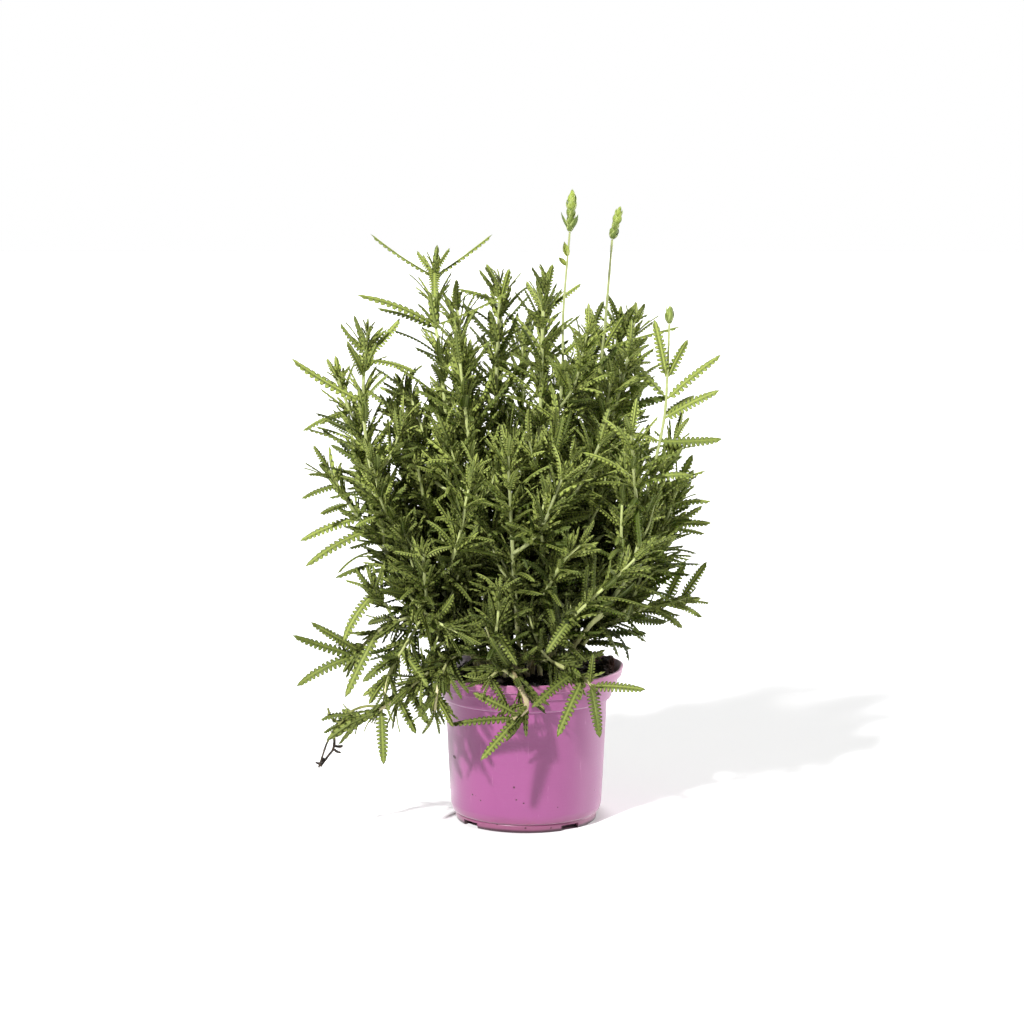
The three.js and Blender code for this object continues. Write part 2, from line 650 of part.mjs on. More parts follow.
// A blade with a ridge down its middle, above and below, that thins to a sharp edge with round teeth.
// It starts from a diamond of top, left, bottom and right points.
function skinLeaf(skin, base, { place, length, width, bend }, margin = 0) {
  const teeth = clamp(Math.round(length / LEAF.teethEvery), 1, 5);
  const add = (u, v, w) => addPoint(skin, onLeaf(place, length, bend, u, v, w));
  const [above, right, below, left] = base.map((start) => [start]);
  const addEdge = (u, half) => {
    left.push(add(u, half + margin, 0));
    right.push(add(u, -half - margin, 0));
  };
  for (let k = 0; k < teeth; k++) {
    const tooth = 0.06 + (0.86 * (k + 0.62)) / teeth;
    addEdge(tooth, (width / 2) * bladeShare(tooth));
    if (k + 1 === teeth) break;
    const notch = 0.06 + (0.86 * (k + 1)) / teeth;
    addEdge(notch, (width / 2) * bladeShare(notch) * (1 - LEAF.toothDepth));
    above.push(add(notch, 0, LEAF.thickness / 2 + margin));
    below.push(add(notch, 0, -LEAF.thickness / 2 - margin));
  }
  const tip = add(1 + margin / length, 0, 0);
  for (const chain of [above, right, below, left]) chain.push(tip);
  const cover = (middle, outer, flip) => {
    const push = (a, b, c) => skin.triangles.push(...(flip ? [a, c, b] : [a, b, c]));
    for (let e = 1; e < outer.length; e++) {
      const m = (e - 1) >> 1;
      push(middle[m], outer[e], outer[e - 1]);
      if (e % 2 === 0 && e + 1 < outer.length) push(middle[m], middle[m + 1], outer[e]);
    }
  };
  cover(above, left, false);
  cover(above, right, true);
  cover(below, left, true);
  cover(below, right, false);
}

// The leaf by itself, as a solid.
function leafSolid(leaf, diamond, margin = 0) {
  const skin = newSkin();
  const numbers = addPoints(skin, diamond.corners);
  const start = startedAt(numbers, diamond.corners, diamond.middle, leafDirections(leaf));
  capRing(skin, [...start].reverse());
  skinLeaf(skin, start, leaf, margin);
  return closed(skin);
}

// Regular leaf number 0 or 1 of a pair, with a change of turn, pitch and length if it has to keep clear.
function regularLeaf(shoot, diamond, pair, side, change) {
  const age = Math.min(1, pair / 4);
  const lot = (purpose) => draw(shoot.index, 2 * pair + side, purpose);
  const turn = between(-10, 10, lot(1)) + change.turn;
  const pitch = Math.max(17, between(26, 66, age) + between(-8, 8, lot(2)) + change.pitch);
  const length = LEAF.length * between(0.66, 1, age) * between(0.84, 1.08, lot(3)) * change.length;
  const bend = between(0.12, 1, lot(4) ** 1.5) * (lot(5) < 0.2 && pitch > 40 ? -0.5 : 1);
  const roll = between(-0.3, 0.3, lot(6));
  const place = growingLeaf(diamond, turn * DEGREE, pitch * DEGREE, roll);
  return { place, length, width: LEAF.width * between(0.72, 1, age), bend };
}

const CHANGES = [
  { turn: 0, pitch: 0, length: 1 },
  { turn: 0, pitch: 14, length: 1 },
  { turn: 0, pitch: -14, length: 1 },
  { turn: 18, pitch: 0, length: 1 },
  { turn: -18, pitch: 0, length: 1 },
  { turn: 34, pitch: 8, length: 0.9 },
  { turn: -34, pitch: -8, length: 0.9 },
  { turn: 10, pitch: 20, length: 0.75 },
  { turn: -10, pitch: -16, length: 0.75 },
];

// ---- Flower heads ----

// A spike of whorls, four pointed bracts to each, every whorl turned by 45 degrees from the last. A
// whorl is a ring that flares from its foot to the bracts' tips, which stand clear of the next foot.
function headSolid(base, { length, width, whorls, lean }) {
  const along = vector(lean).normalize();
  const across = squareTo(along, vector([1, 0, 0]));
  const up = along.clone().cross(across);
  const ring = (place) =>
    [0, 1, 2, 3, 4, 5, 6, 7].map((corner) => {
      const [height, radius] = place(corner);
      const angle = corner * 45 * DEGREE;
      const [sideways, upward] = [radius * Math.cos(angle), radius * Math.sin(angle)];
      return weighted([base, 1], [along, height], [across, sideways], [up, upward]);
    });
  const rings = [ring(() => [0, 0.9])];
  const rise = length / (whorls + 0.5);
  for (let whorl = 0; whorl < whorls; whorl++) {
    const size = (width / 2) * (0.72 + 0.28 * Math.sin(Math.PI * (0.2 + (0.75 * whorl) / whorls)));
    const [tip, notch] = [[rise * (whorl + 1.15), size], [rise * (whorl + 0.75), size * 0.72]];
    rings.push(ring(() => [rise * (whorl + 0.12), size * 0.5]));
    rings.push(ring((corner) => ((corner + whorl) % 2 === 0 ? tip : notch)));
  }
  rings.push(ring(() => [length * 0.93, width * 0.16]), ring(() => [length, 0.5]));
  return loft(rings);
}

// ---- Placing the plant ----

// The stems of the dome. The lowest comes first.
function domeStems() {
  return Array.from({ length: DOME.count }, (_, i) => {
    const lean = between(DOME.lowest, DOME.highest, (i + 0.5) / DOME.count) * DEGREE;
    const heading = (DOME.firstAngle + i * DOME.turnStep) * DEGREE;
    const direction = [Math.cos(heading), Math.sin(heading)];
    const reach = DOME.radius * Math.sin(lean) ** 0.55;
    const [x, y] = [reach * direction[0], reach * direction[1] * DOME.depthShare];
    const z = DOME.floorZ + DOME.rise * Math.cos(lean) ** 0.8;
    return {
      name: `stem_${String(i + 1).padStart(2, "0")}`,
      root: direction.map((share) => DOME.rootRadius * Math.sin(lean) * share),
      turn: 50 * i,
      from: 0,
      way: [[0.68 * x, 0.68 * y, between(SOIL.crownZ, z, 0.46)], [x, y, z]],
      leaves: [],
    };
  });
}

// Every solid so far, with the name of its node and the number of its shoot.
const placed = [];

function put(name, solid, facts = {}) {
  placed.push({ name, solid, box: boxOf(solid), ...facts });
}

function boxOf(solid) {
  return new THREE.Box3().setFromArray(solid.getMesh().vertProperties);
}

function meets(solid, other) {
  return boxOf(solid).intersectsBox(other.box) && solid.intersect(other.solid).getMesh().triVerts.length > 0;
}

// Whether a piece, made a little larger, meets no other node, and as it is meets nothing of its own
// node but what it may touch.
function keepsClear(name, exact, larger, mayTouch = () => false) {
  return placed.every((other) => mayTouch(other) || !meets(other.name === name ? exact : larger, other));
}

// Puts a leaf on its stem if it keeps clear.
function putLeaf(name, shoot, diamond, leaf) {
  const corners = diamond.corners.map((corner) => weighted([corner, 1], [diamond.outward, ROOT_LIFT]));
  const lifted = leafSolid(leaf, { ...diamond, corners });
  if (!keepsClear(name, lifted, leafSolid(leaf, diamond, CLEAR))) return false;
  put(name, leafSolid(leaf, diamond), { shoot: shoot.index });
  shoot.growths.push({ diamond, leaf });
  return true;
}

// Puts a leaf whose tip is given, on the nearest face and place of its stem where it keeps clear.
function putAimedLeaf({ name, shoot }, [back, x, y, z, bend, face]) {
  const tip = vector([x, y, z]);
  const place = backFromTip(shoot.rings, back);
  const nearest = faceTowards(place, tip.clone().sub(place.point));
  return [0, 1, 3].some((faces) =>
    [0, 3, -3, 6].some((more) => {
      const diamond = diamondOn(shoot, (nearest + faces) % 4, Math.max(1.2, back + more));
      return diamond && putLeaf(name, shoot, diamond, aimedLeaf(diamond, tip, bend, face));
    }),
  );
}

// Puts one side shoot on a stem, on the first heading where it keeps clear, and returns it.
function putSideShoot(name, stem, index, back, heading, reach) {
  for (const more of [0, 35, -35, 70, -70]) {
    const trial = sideShoot(stem, index, back, heading + more, reach);
    const setOff = trial.rings[1].point.clone().sub(trial.rings[0].point);
    const diamond = diamondOn(stem, faceTowards(backFromTip(stem.rings, back), setOff), back);
    const shoot = diamond && sideShoot(stem, index, diamond.back, heading + more, reach);
    const isOwnStem = (other) => other.isStem && other.shoot === stem.index;
    if (shoot && keepsClear(name, stemSolid(shoot), stemSolid(shoot, CLEAR), isOwnStem)) {
      put(name, stemSolid(shoot), { shoot: index, isStem: true });
      stem.growths.push({ diamond, shoot });
      return shoot;
    }
  }
  return null;
}

function putSideShoots({ name, shoot: stem }, stemCount) {
  const length = lengthOf(stem);
  const count = length > SIDE.longStem ? 2 : length > SIDE.shortest ? 1 : 0;
  const grown = [];
  for (let k = 0; k < count; k++) {
    const back = length * (1 - between(SIDE.lowest, SIDE.highest, (0.38 * stem.index + 0.5 * k) % 1));
    const heading = SIDE.swing * ((stem.index + k) % 2 ? 1 : -1) + between(-20, 20, draw(stem.index, k, 7));
    const reach = SIDE.length * between(0.8, 1.15, draw(stem.index, k, 8));
    const shoot = putSideShoot(name, stem, stemCount + 2 * stem.index + k, back, heading, reach);
    if (shoot) grown.push({ name, shoot, from: 0, share: PAIR.sideReach });
  }
  return grown;
}

// Puts a shoot's regular leaves, each with the first change that keeps it clear.
function putRegularLeaves({ name, shoot, from, share }) {
  for (let pair = 0; pairPlace(pair) < share * lengthOf(shoot); pair += PAIR.every) {
    if (pairPlace(pair) < from) continue;
    for (const side of [0, 1]) {
      const diamond = diamondOn(shoot, (pair + 2 * side) % 4, pairPlace(pair));
      if (!diamond) continue;
      const leafFor = (change) => regularLeaf(shoot, diamond, pair, side, change);
      CHANGES.some((change) => putLeaf(name, shoot, diamond, leafFor(change)));
    }
  }
}

// ---- The whole part ----

const plants = [...STEMS, ...domeStems()];
put("pot", potSolid());
put("soil", soilSolid(plants));

const stems = plants.map((plant, index) => {
  const isStalk = FLOWERS.some(({ on }) => on === plant.name);
  const shoot = mainShoot(plant, index, isStalk ? STEM.stalkTip : STEM.tip);
  put(plant.name, stemSolid(shoot), { shoot: index, isStem: true });
  return { ...plant, shoot, share: PAIR.reach };
});
for (const flower of FLOWERS) {
  const stalkEnd = vector(plants.find(({ name }) => name === flower.on).way.at(-1));
  const base = weighted([stalkEnd, 1], [vector(flower.lean).normalize(), SEAT]);
  put(flower.name, headSolid(base, flower));
}
for (const stem of stems) {
  for (const leaf of stem.leaves) putAimedLeaf(stem, leaf);
}
const sides = stems.flatMap((stem) => putSideShoots(stem, stems.length));
for (const shoot of [...stems, ...sides]) putRegularLeaves(shoot);

const group = new THREE.Group();
group.add(meshOf("pot", placed[0].solid, COLOUR.pot, 0.42));
group.add(meshOf("soil", placed[1].solid, COLOUR.soil, 0.95));
for (const { name, shoot } of stems) {
  const skin = newSkin();
  skinShoot(skin, shoot);
  group.add(meshOf(name, closed(skin), COLOUR.leaf, 0.7));
}
for (const { name } of FLOWERS) {
  group.add(meshOf(name, placed.find((piece) => piece.name === name).solid, COLOUR.head, 0.75));
}

export default group;
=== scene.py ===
"""A toothed-leaf lavender in a nursery pot: its plastic, soil, leafy stems, flower spikes and stage.

The plant's sizes and places are in millimetres, as in its solids, and each mesh is made in metres.
"""
import json
import math
from dataclasses import dataclass

import bmesh
import bpy
from mathutils import Matrix, Quaternion, Vector, noise
from mathutils.kdtree import KDTree

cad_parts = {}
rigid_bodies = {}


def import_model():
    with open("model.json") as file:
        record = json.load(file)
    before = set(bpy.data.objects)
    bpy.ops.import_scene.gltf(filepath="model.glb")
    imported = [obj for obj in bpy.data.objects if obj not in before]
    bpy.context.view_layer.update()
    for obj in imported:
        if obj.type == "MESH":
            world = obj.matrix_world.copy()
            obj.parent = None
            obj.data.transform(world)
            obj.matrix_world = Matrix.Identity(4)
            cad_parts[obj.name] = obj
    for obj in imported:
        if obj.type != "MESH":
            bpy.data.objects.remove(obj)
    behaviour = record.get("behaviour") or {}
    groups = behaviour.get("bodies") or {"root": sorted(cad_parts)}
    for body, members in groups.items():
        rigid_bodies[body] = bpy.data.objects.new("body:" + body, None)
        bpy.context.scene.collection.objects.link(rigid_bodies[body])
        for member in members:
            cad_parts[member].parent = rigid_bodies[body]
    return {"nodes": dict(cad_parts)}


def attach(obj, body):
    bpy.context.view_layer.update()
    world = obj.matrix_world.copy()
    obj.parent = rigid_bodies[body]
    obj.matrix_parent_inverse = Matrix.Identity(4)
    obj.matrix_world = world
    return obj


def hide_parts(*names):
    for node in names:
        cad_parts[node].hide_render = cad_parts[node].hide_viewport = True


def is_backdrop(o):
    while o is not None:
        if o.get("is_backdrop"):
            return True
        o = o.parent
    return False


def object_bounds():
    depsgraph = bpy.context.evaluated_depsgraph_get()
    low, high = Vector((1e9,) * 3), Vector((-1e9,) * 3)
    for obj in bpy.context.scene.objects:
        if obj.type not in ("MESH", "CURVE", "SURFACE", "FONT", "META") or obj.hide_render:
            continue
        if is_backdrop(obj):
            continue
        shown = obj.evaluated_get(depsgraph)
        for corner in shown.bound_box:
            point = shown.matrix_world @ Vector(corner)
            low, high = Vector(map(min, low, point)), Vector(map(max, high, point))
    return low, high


bl_info = {
    "name": "Potted lavender",
    "version": (1, 0, 0),
    "blender": (4, 5, 0),
    "location": "View3D > Sidebar > Lavender",
    "description": "A toothed-leaf lavender with green flower spikes, in a nursery pot",
    "category": "Object",
}

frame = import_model()
SOLID_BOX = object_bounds()

MM = 0.001
TURN = 2 * math.pi
UP = Vector((0, 0, 1))


def srgb(red, green, blue):
    """A colour as it looks on a screen, 0 to 255, as the linear colour that a shader takes."""
    return tuple(((c / 255 + 0.055) / 1.055) ** 2.4 for c in (red, green, blue))


# ---- The sizes that the solids have too, mm ----

POT_HEIGHT, RIM_RADIUS, BODY_TOP_RADIUS, BODY_FOOT_RADIUS = 100, 60, 53.4, 49.6
FOOT_RADIUS, FOOT_HEIGHT, SHOULDER_Z, COLLAR_Z = 46.4, 5.8, 10.4, 84.5
WALL, FLOOR_Z, PAD_RADIUS = 1.3, 4, 14
LIP_WALL, COLLAR_WALL, COLLAR_STEP = 1.6, 5, 1.2
PUSH_OUT, PUSH_UP = 4.2, 2.2
NOTCHES, NOTCH_WIDTH, NOTCH_HEIGHT, FIRST_NOTCH = 4, 14, 3.6, 38
DRAINS, DRAIN_RADIUS, DRAIN_RING = 6, 3, 30
SOIL_CROWN, SOIL_EDGE, SOIL_RISE, SOIL_LUMP, HOLE_DEPTH = 98, 94, 2.4, 1.3, 14
SEED = 11

# What only the looks have: a lower collar, a heap of crumbs at the rim and the pot's largest specks, as
# across, height and radius.
LIP_DROP = 2.6
HEAP_PLACE, HEAP_SPREAD, HEAP_HEIGHT = (57, 5), (10, 14), 10
CRUMB_REACH, POT_SIDES, SOIL_SIDES, SOIL_RINGS = 53.4, 168, 120, 34
SPECKS = [
    (-8, 31.5, 0.9), (-35, 23.3, 0.7), (-29.7, 20.4, 0.6), (-6.5, 23.2, 0.7), (-1.8, 20.9, 0.7),
    (20.3, 17.2, 0.5), (-0.6, 3.6, 0.9), (16, 3, 0.7), (-47, 44.6, 1.3), (-19, 5, 0.6),
]

# The half diagonals of a stem at its foot and tip, of a side shoot's foot, of a flower stalk's tip and of
# the hooked stem's tip, and the size of a full leaf.
STEM_FOOT, STEM_TIP, SIDE_FOOT, STALK_TIP, HOOK_TIP = 1.8, 0.95, 1.25, 0.66, 1.8
LEAF_LENGTH, LEAF_WIDTH = 39, 8.4

# Each stem: its root in the soil, how its faces are turned, where its regular pairs begin, its way
# points, and its listed leaves as (length back from the tip, x, y, z of its own tip, arch, and
# how far its upper side leans to the front).
STEMS = {
    "flower_stem_tall": ((4, -18), 0, 95, [
        (11, -50, 188), (15, -62, 237), (22, -56, 294), (23, -50, 338), (27, -45, 388),
    ], [
        (77, 40, -60, 327, 0.4, 1), (77, 13, -74, 322, 0.3, 1),
    ]),
    "flower_stem_right": ((13, -8), 20, 80, [
        (36, -14, 205), (49, -10, 312), (51, -8, 332), (55, -5, 381),
    ], [
        (70, 38, -2, 337, 0.25, 1), (70, 62, -8, 332, 0.2, 1), (70, 99, -14, 326, 0.1, 0.2),
        (74, 28, -20, 300, 0.5, 0.2),
    ]),
    "bud_stem_right": ((21, -17), 0, 90, [
        (64, -52, 170), (75, -56, 220), (81, -56, 243), (87, -52, 272), (89, -48, 301), (90, -45, 330),
    ], [
        (33, 80, -56, 334, 0.3, 1), (33, 102, -40, 320, 0.3, 0.6), (47, 123, -44, 311, 0.25, 0.6),
        (46, 58, -30, 315, 0.2, 0.2), (59, 121, -62, 290, 0.4, 1.2), (57, 107, -34, 284, 0.3, 0.5),
        (74, 123.8, -52, 258, -0.35, 1.5), (74, 60, -66, 262, 0.6, 0.8),
    ]),
    "stem_tall_left": ((-19, -5), 90, 50, [
        (-44, -24, 200), (-55, -26, 307), (-58, -24, 328), (-59, -20, 366),
    ], [
        (7, -99, -26, 386, -0.2, 0.2), (7, -22, -14, 385, -0.1, 0.1), (1, -58, -44, 346, 0.6, 3),
        (4, -49, -30, 377, 0.2, 1), (5, -70, -8, 374, -0.3, 0.4), (38, -108, -34, 348, 0.5, 0.7),
        (40, -96, -16, 338, 0.4, 0.3), (38, -10, -40, 351, -0.2, 0.2),
    ]),
    "stem_left": ((-21, -15), 20, 54, [
        (-84, -34, 200), (-100, -36, 240), (-104, -34, 286), (-101, -30, 324),
    ], [
        (14, -118, -36, 330, -0.2, 0.5), (14, -81, -22, 332, -0.4, 0.5), (6, -99, -40, 329, 0.2, 1),
        (28, -113, -52, 320, 0.2, 1), (44, -149, -40, 308, -0.35, 0.8), (44, -87, -60, 300, 0.3, 1),
        (18, -69, -50, 300, 0.5, 0.4),
    ]),
    "stem_left_back": ((-32, 5), 60, 34, [
        (-80, 14, 190), (-112, 8, 262), (-123, 4, 292),
    ], [
        (4, -130, 12, 303, 0.2, 1), (4, -114, -4, 300, 0.2, 1), (24, -134, -8, 262, 0.6, 0.6),
        (26, -146, 4, 256, 0.7, 0.4),
    ]),
    "stem_top_left": ((-11, 1), 30, 24, [
        (-20, 4, 230), (-17, 10, 355),
    ], [
        (16, -11, 2, 362, 0.2, 1), (16, -44, 14, 348, 0.4, 0.5), (6, -26, 20, 364, 0.1, 1),
    ]),
    "stem_top": ((4, 10), 80, 46, [
        (8, 20, 230), (13, 20, 357),
    ], [
        (14, 11, 28, 360, 0.1, 1), (14, 17, 14, 364, 0.1, 1), (24, 2, 10, 348, 0.3, 0.6),
        (24, 36, 26, 351, 0.2, 0.3), (40, -8, 12, 347, 0.3, 0.3),
    ]),
    "stem_top_right": ((13, 8), 10, 0, [
        (34, 18, 215), (43, 14, 322),
    ], []),
    "stem_right_mid": ((23, -3), 40, 28, [
        (60, -34, 162), (94, -30, 218),
    ], [
        (4, 106, -36, 246, 0.2, 1), (4, 108, -18, 234, 0.3, 0.6), (6, 118, -38, 216, 0.5, 0.6),
        (20, 118, -44, 203, 0.2, 1),
    ]),
    "stem_right_low": ((22, 5), 15, 28, [
        (62, -12, 136), (104, -10, 148),
    ], [
        (3, 117, -14, 173, 0.2, 0.8), (3, 120, -4, 144, 0.3, 0.4), (8, 114, -24, 138, 0.4, 0.7),
        (14, 104, -2, 172, 0.2, 0.7), (22, 101, -30, 132, 0.5, 1),
    ]),
    "stem_right_back": ((29, 10), 70, 16, [
        (58, 24, 150), (98, 26, 192),
    ], [
        (4, 118, 20, 186, 0.3, 0.6), (4, 117, 32, 203, 0.2, 0.8),
    ]),
    "stem_left_mid": ((-27, -3), 30, 56, [
        (-66, -12, 150), (-105, -22, 198), (-129, -18, 236),
    ], [
        (3, -137, -20, 250, 0.2, 0.8), (6, -140, -34, 233, 0.3, 0.6), (14, -145, -26, 216, 0.5, 0.6),
        (28, -132, -40, 208, 0.4, 1), (39, -146, -30, 189, 0.5, 0.8), (49, -142, -40, 174, 0.6, 0.8),
    ]),
    "stem_left_hanging": ((-6, -17), 80, 34, [
        (-56, -40, 142), (-92, -44, 134), (-113, -42, 114),
    ], [
        (2, -148, -46, 97, 0.9, 1.2), (4, -149.8, -48, 131, -0.2, 0.9), (7, -139, -34, 137, 0.2, 0.6),
        (8, -132, -58, 138, 0.1, 1), (24, -116, -58, 92, 0.4, 1),
    ]),
    "stem_left_low": ((-14, -21), 70, 66, [
        (-40, -36, 117), (-70, -60, 104), (-93, -64, 86), (-117, -58, 76),
    ], [
        (27, -91, -70, 51, 0.2, 1), (40, -70, -78, 73, 0.4, 1), (49, -62, -82, 80, 0.4, 1),
        (57, -46, -86, 87, 0.5, 1), (2, -130, -62, 70, 0.4, 1), (8, -132, -56, 77, 1.5, 0.8),
    ]),
    "stem_front_hook": ((1, -26), 85, 30, [
        (-10, -58, 112), (0, -75, 92), (-9, -80, 82),
    ], [
        (2, -49, -76, 79, 0.2, 0.6), (5, -34, -84, 101, 0.3, 1.4), (6, -29, -104, 62, 0.3, 1),
        (15, -19, -72, 84, 0.5, 1),
    ]),
    "stem_front_right": ((9, -25), 45, 28, [
        (10, -42, 114), (31, -66, 109), (42, -76, 103),
    ], [
        (1, 75, -84, 103, 0.3, 1), (1, 46, -90, 73, 0.4, 1), (3, 42, -74, 124, 0.2, 1),
        (9, 19, -92, 74, 0.4, 1), (18, 3, -92, 93, 0.4, 1),
    ]),
}

# The tips of the other stems are spread over a rounded dome by the golden angle. Lean in degrees.
DOME_STEMS, DOME_TURN, DOME_START, DOME_LOWEST, DOME_HIGHEST = 13, 137.508, 72, 84, 16
DOME_RADIUS, DOME_DEPTH, DOME_FLOOR, DOME_RISE, DOME_ROOT = 92, 1.04, 128, 222, 31

# The leaf pairs' places, back from the tip: which of them the solids have, and from which one on there is
# another between each two.
PAIR_FIRST, PAIR_STEP, PAIR_GROWTH, PAIR_EVERY, DENSE_FROM = 1.5, 10.5, 0.9, 3, 2
# The solids' side shoots: their length, where on the stem they grow, how far they turn aside, and how
# long a stem has one or two.
SIDE_LENGTH, SIDE_LOWEST, SIDE_HIGHEST, SIDE_SWING = 72, 0.24, 0.62, 62
SIDE_SHORTEST, SIDE_LONG_STEM = 105, 215

# What the solids leave out: the half diagonals of its shoots at the foot and the tip, the share of a
# shoot, from its tip, that bears leaf pairs and tufts, the added side shoots, and each tip's bunch as the
# number of its leaves and the longest.
ADDED_RADII, SPRAY_RADII, TWIG_RADII, SPINDLE_RADII = (0.9, 0.6), (1.2, 0.8), (0.95, 0.7), (1.3, 0.6)
MAIN_PAIRS, SIDE_PAIRS, MAIN_TUFTS, SIDE_TUFTS = 0.88, 0.84, 0.68, 0.8
ADDED_EVERY, ADDED_LENGTH, ADDED_SWING, ADDED_SPREAD = 42, (34, 70), 137.5, 0.75
TIP_OF_PLACED, TIP_OF_MAIN, TIP_OF_SIDE = (7, 11), (7, 17), (4, 13)

# How far leaves stay off the rim above it, inside it and outside it, off the soil and off the floor.
OVER_RIM, INSIDE_RIM, OUTSIDE_RIM, OVER_SOIL, OVER_FLOOR = 4, 6, 5, 1, 2

# The number of the first shoot of each kind, by which its draws differ.
ADDED, SPRAY, SPIKE, TWIG = 200, 600, 700, 800

# Each flower: the stem it ends, its length and lean.
FLOWERS = {
    "flower_head_tall": ("flower_stem_tall", 27, (1.8, 0, 27)),
    "flower_head_right": ("flower_stem_right", 21.5, (5, 0, 21)),
    "flower_bud_right": ("bud_stem_right", 12, (0.3, 0, 10)),
}
# How far the soil and the spikes stay off what holds them.
SEAT = 0.35

# How much more upright a leaf stands that the solids leave out, and how long it is on an added shoot.
LOOSE_PITCH, LOOSE_LENGTH = 0.68, 0.8
# Beyond this share of a shoot that the solids have, from its tip, only their leaves grow where y is less
# than OPEN_FRONT, so that light falls into the bush.
OPEN_BASE, OPEN_FRONT = 0.76, 2

# The pair of bracts on the tallest stalk: back from its tip, the point's place, length and width.
STALK_BRACTS = [(15, (23.5, -50, 382.4), 4.4), (20.6, (20, -51, 372.8), 4.6)]

# Short leafy sprays that the solids leave out, on the stem that carries them: how far back from its
# tip each begins, its way points and its listed leaves.
SPRAYS = {
    "stem_left_hanging": [
        (60, [(-76, -60, 128), (-86, -70, 112), (-90, -76, 98)], [
            (14, -100, -78, 92, 0.5, 1.6), (30, -104, -76, 106, 0.6, 1.4), (30, -62, -84, 104, 0.5, 1.4),
        ]),
        (40, [(-90, -48, 150), (-99, -52, 162)], [
            (4, -117, -58, 128, 1.3, 1), (6, -108, -60, 176, -0.3, 1), (2, -92, -64, 178, -0.3, 1),
        ]),
    ],
    "stem_left_low": [
        (92, [(-50, -66, 118), (-56, -80, 104), (-58, -86, 88)], [(10, -46, -90, 80, 0.4, 1.4)]),
        (70, [(-64, -74, 110), (-74, -84, 104)], [(2, -86, -90, 94, 0.6, 1.4)]),
    ],
    "stem_left": [
        (176, [(-50, -56, 175), (-42, -76, 200), (-38, -84, 222), (-33, -88, 243)], []),
        (196, [(-74, -50, 158), (-60, -70, 146), (-42, -80, 138)], [
            (1, -25, -84, 150, -0.3, 1.6), (2, -28, -86, 132, 0.6, 1.4), (20, -46, -84, 164, -0.4, 1.2),
        ]),
    ],
    "stem_front_hook": [
        (45, [(-19, -70, 130), (-18, -82, 151), (-17, -86, 166)], [(30, -6, -84, 118, 0.8, 1.6)]),
        (34, [(-16, -66, 112), (-24, -74, 108)], [(1, -12, -76, 88, 0.9, 1), (2, -38, -76, 103, 0.3, 1.4)]),
    ],
    "flower_stem_tall": [
        (250, [(14, -62, 165), (23, -84, 185), (34, -92, 197)], []),
        (200, [(10, -70, 196), (8, -82, 208), (12, -84, 226)], []),
    ],
    "stem_front_right": [
        (50, [(22, -66, 138), (40, -84, 160), (62, -92, 182), (76, -90, 197)], [
            (70, 12, -86, 126, 0.8, 1.4),
        ]),
    ],
    "bud_stem_right": [(165, [(60, -66, 190), (60, -74, 221), (64, -76, 245)], [])],
}

# The dry twigs at the end of the lowest stem on the left: where each begins, back from the tip or as a
# point, and its way points.
TWIGS = [
    [(-88, -62, 86), (-102, -60, 87), (-113, -60, 83), (-119, -60, 76), (-124, -60, 70), (-128, -60, 62),
     (-131, -60, 53), (-133, -60, 47)],
    [(-119, -60, 76), (-125, -57, 79), (-127, -57, 85)],
    [(-124, -60, 70), (-123, -57, 64), (-124, -57, 58), (-127, -57, 54), (-132, -57, 47)],
]
TWIG_LEAVES = [(0, 24, 6), (0, 6, 4), (1, 3, 6), (2, 16, 7), (2, 14, 6), (2, 5, 5), (2, 2, 5)]

# Each spike's whorls: the height of its bracts' feet, their number, length, width, pitch, curl and tint.
WHORLS = {
    "flower_head_tall": [
        (0.2, 4, 6.6, 4.6, 52, -1.5, 0.2), (1, 2, 13, 4.6, 50, -0.6, 0.0), (3.2, 4, 9, 5.2, 50, -1.5, 0.3),
        (8, 4, 9, 5.4, 48, -1.5, 0.45), (12.5, 4, 10, 5.8, 60, -1.9, 0.6), (16.5, 4, 8.8, 5, 50, -1.6, 0.85),
        (19.5, 4, 7.4, 3.8, 34, -1.15, 1.0),
    ],
    "flower_head_right": [
        (0.3, 4, 6.4, 5, 70, -2, 0.2), (2, 3, 7, 4.8, 60, -1.8, 0.3), (6, 4, 8, 5, 50, -1.6, 0.4),
        (9.5, 4, 9, 5.4, 58, -1.85, 0.65), (13.5, 4, 7.6, 4.6, 46, -1.5, 0.85), (16.4, 4, 5, 3, 28, -1, 0.95),
    ],
    "flower_bud_right": [
        (0.2, 4, 9, 4.6, 50, -1.65, 0.25), (0.6, 4, 11, 4.2, 38, -1.35, 0.5),
        (1.6, 4, 10.6, 3, 22, -0.8, 0.6),
    ],
}

# How the solids turn, tilt and shorten a leaf to keep it clear: turn and pitch in degrees, and length.
CHANGES = [
    (0, 0, 1), (0, 14, 1), (0, -14, 1), (18, 0, 1), (-18, 0, 1),
    (34, 8, 0.9), (-34, -8, 0.9), (10, 20, 0.75), (-10, -16, 0.75),
]
SIDE_CHANGES = (0, 35, -35, 70, -70)


# ---- What a user would change ----


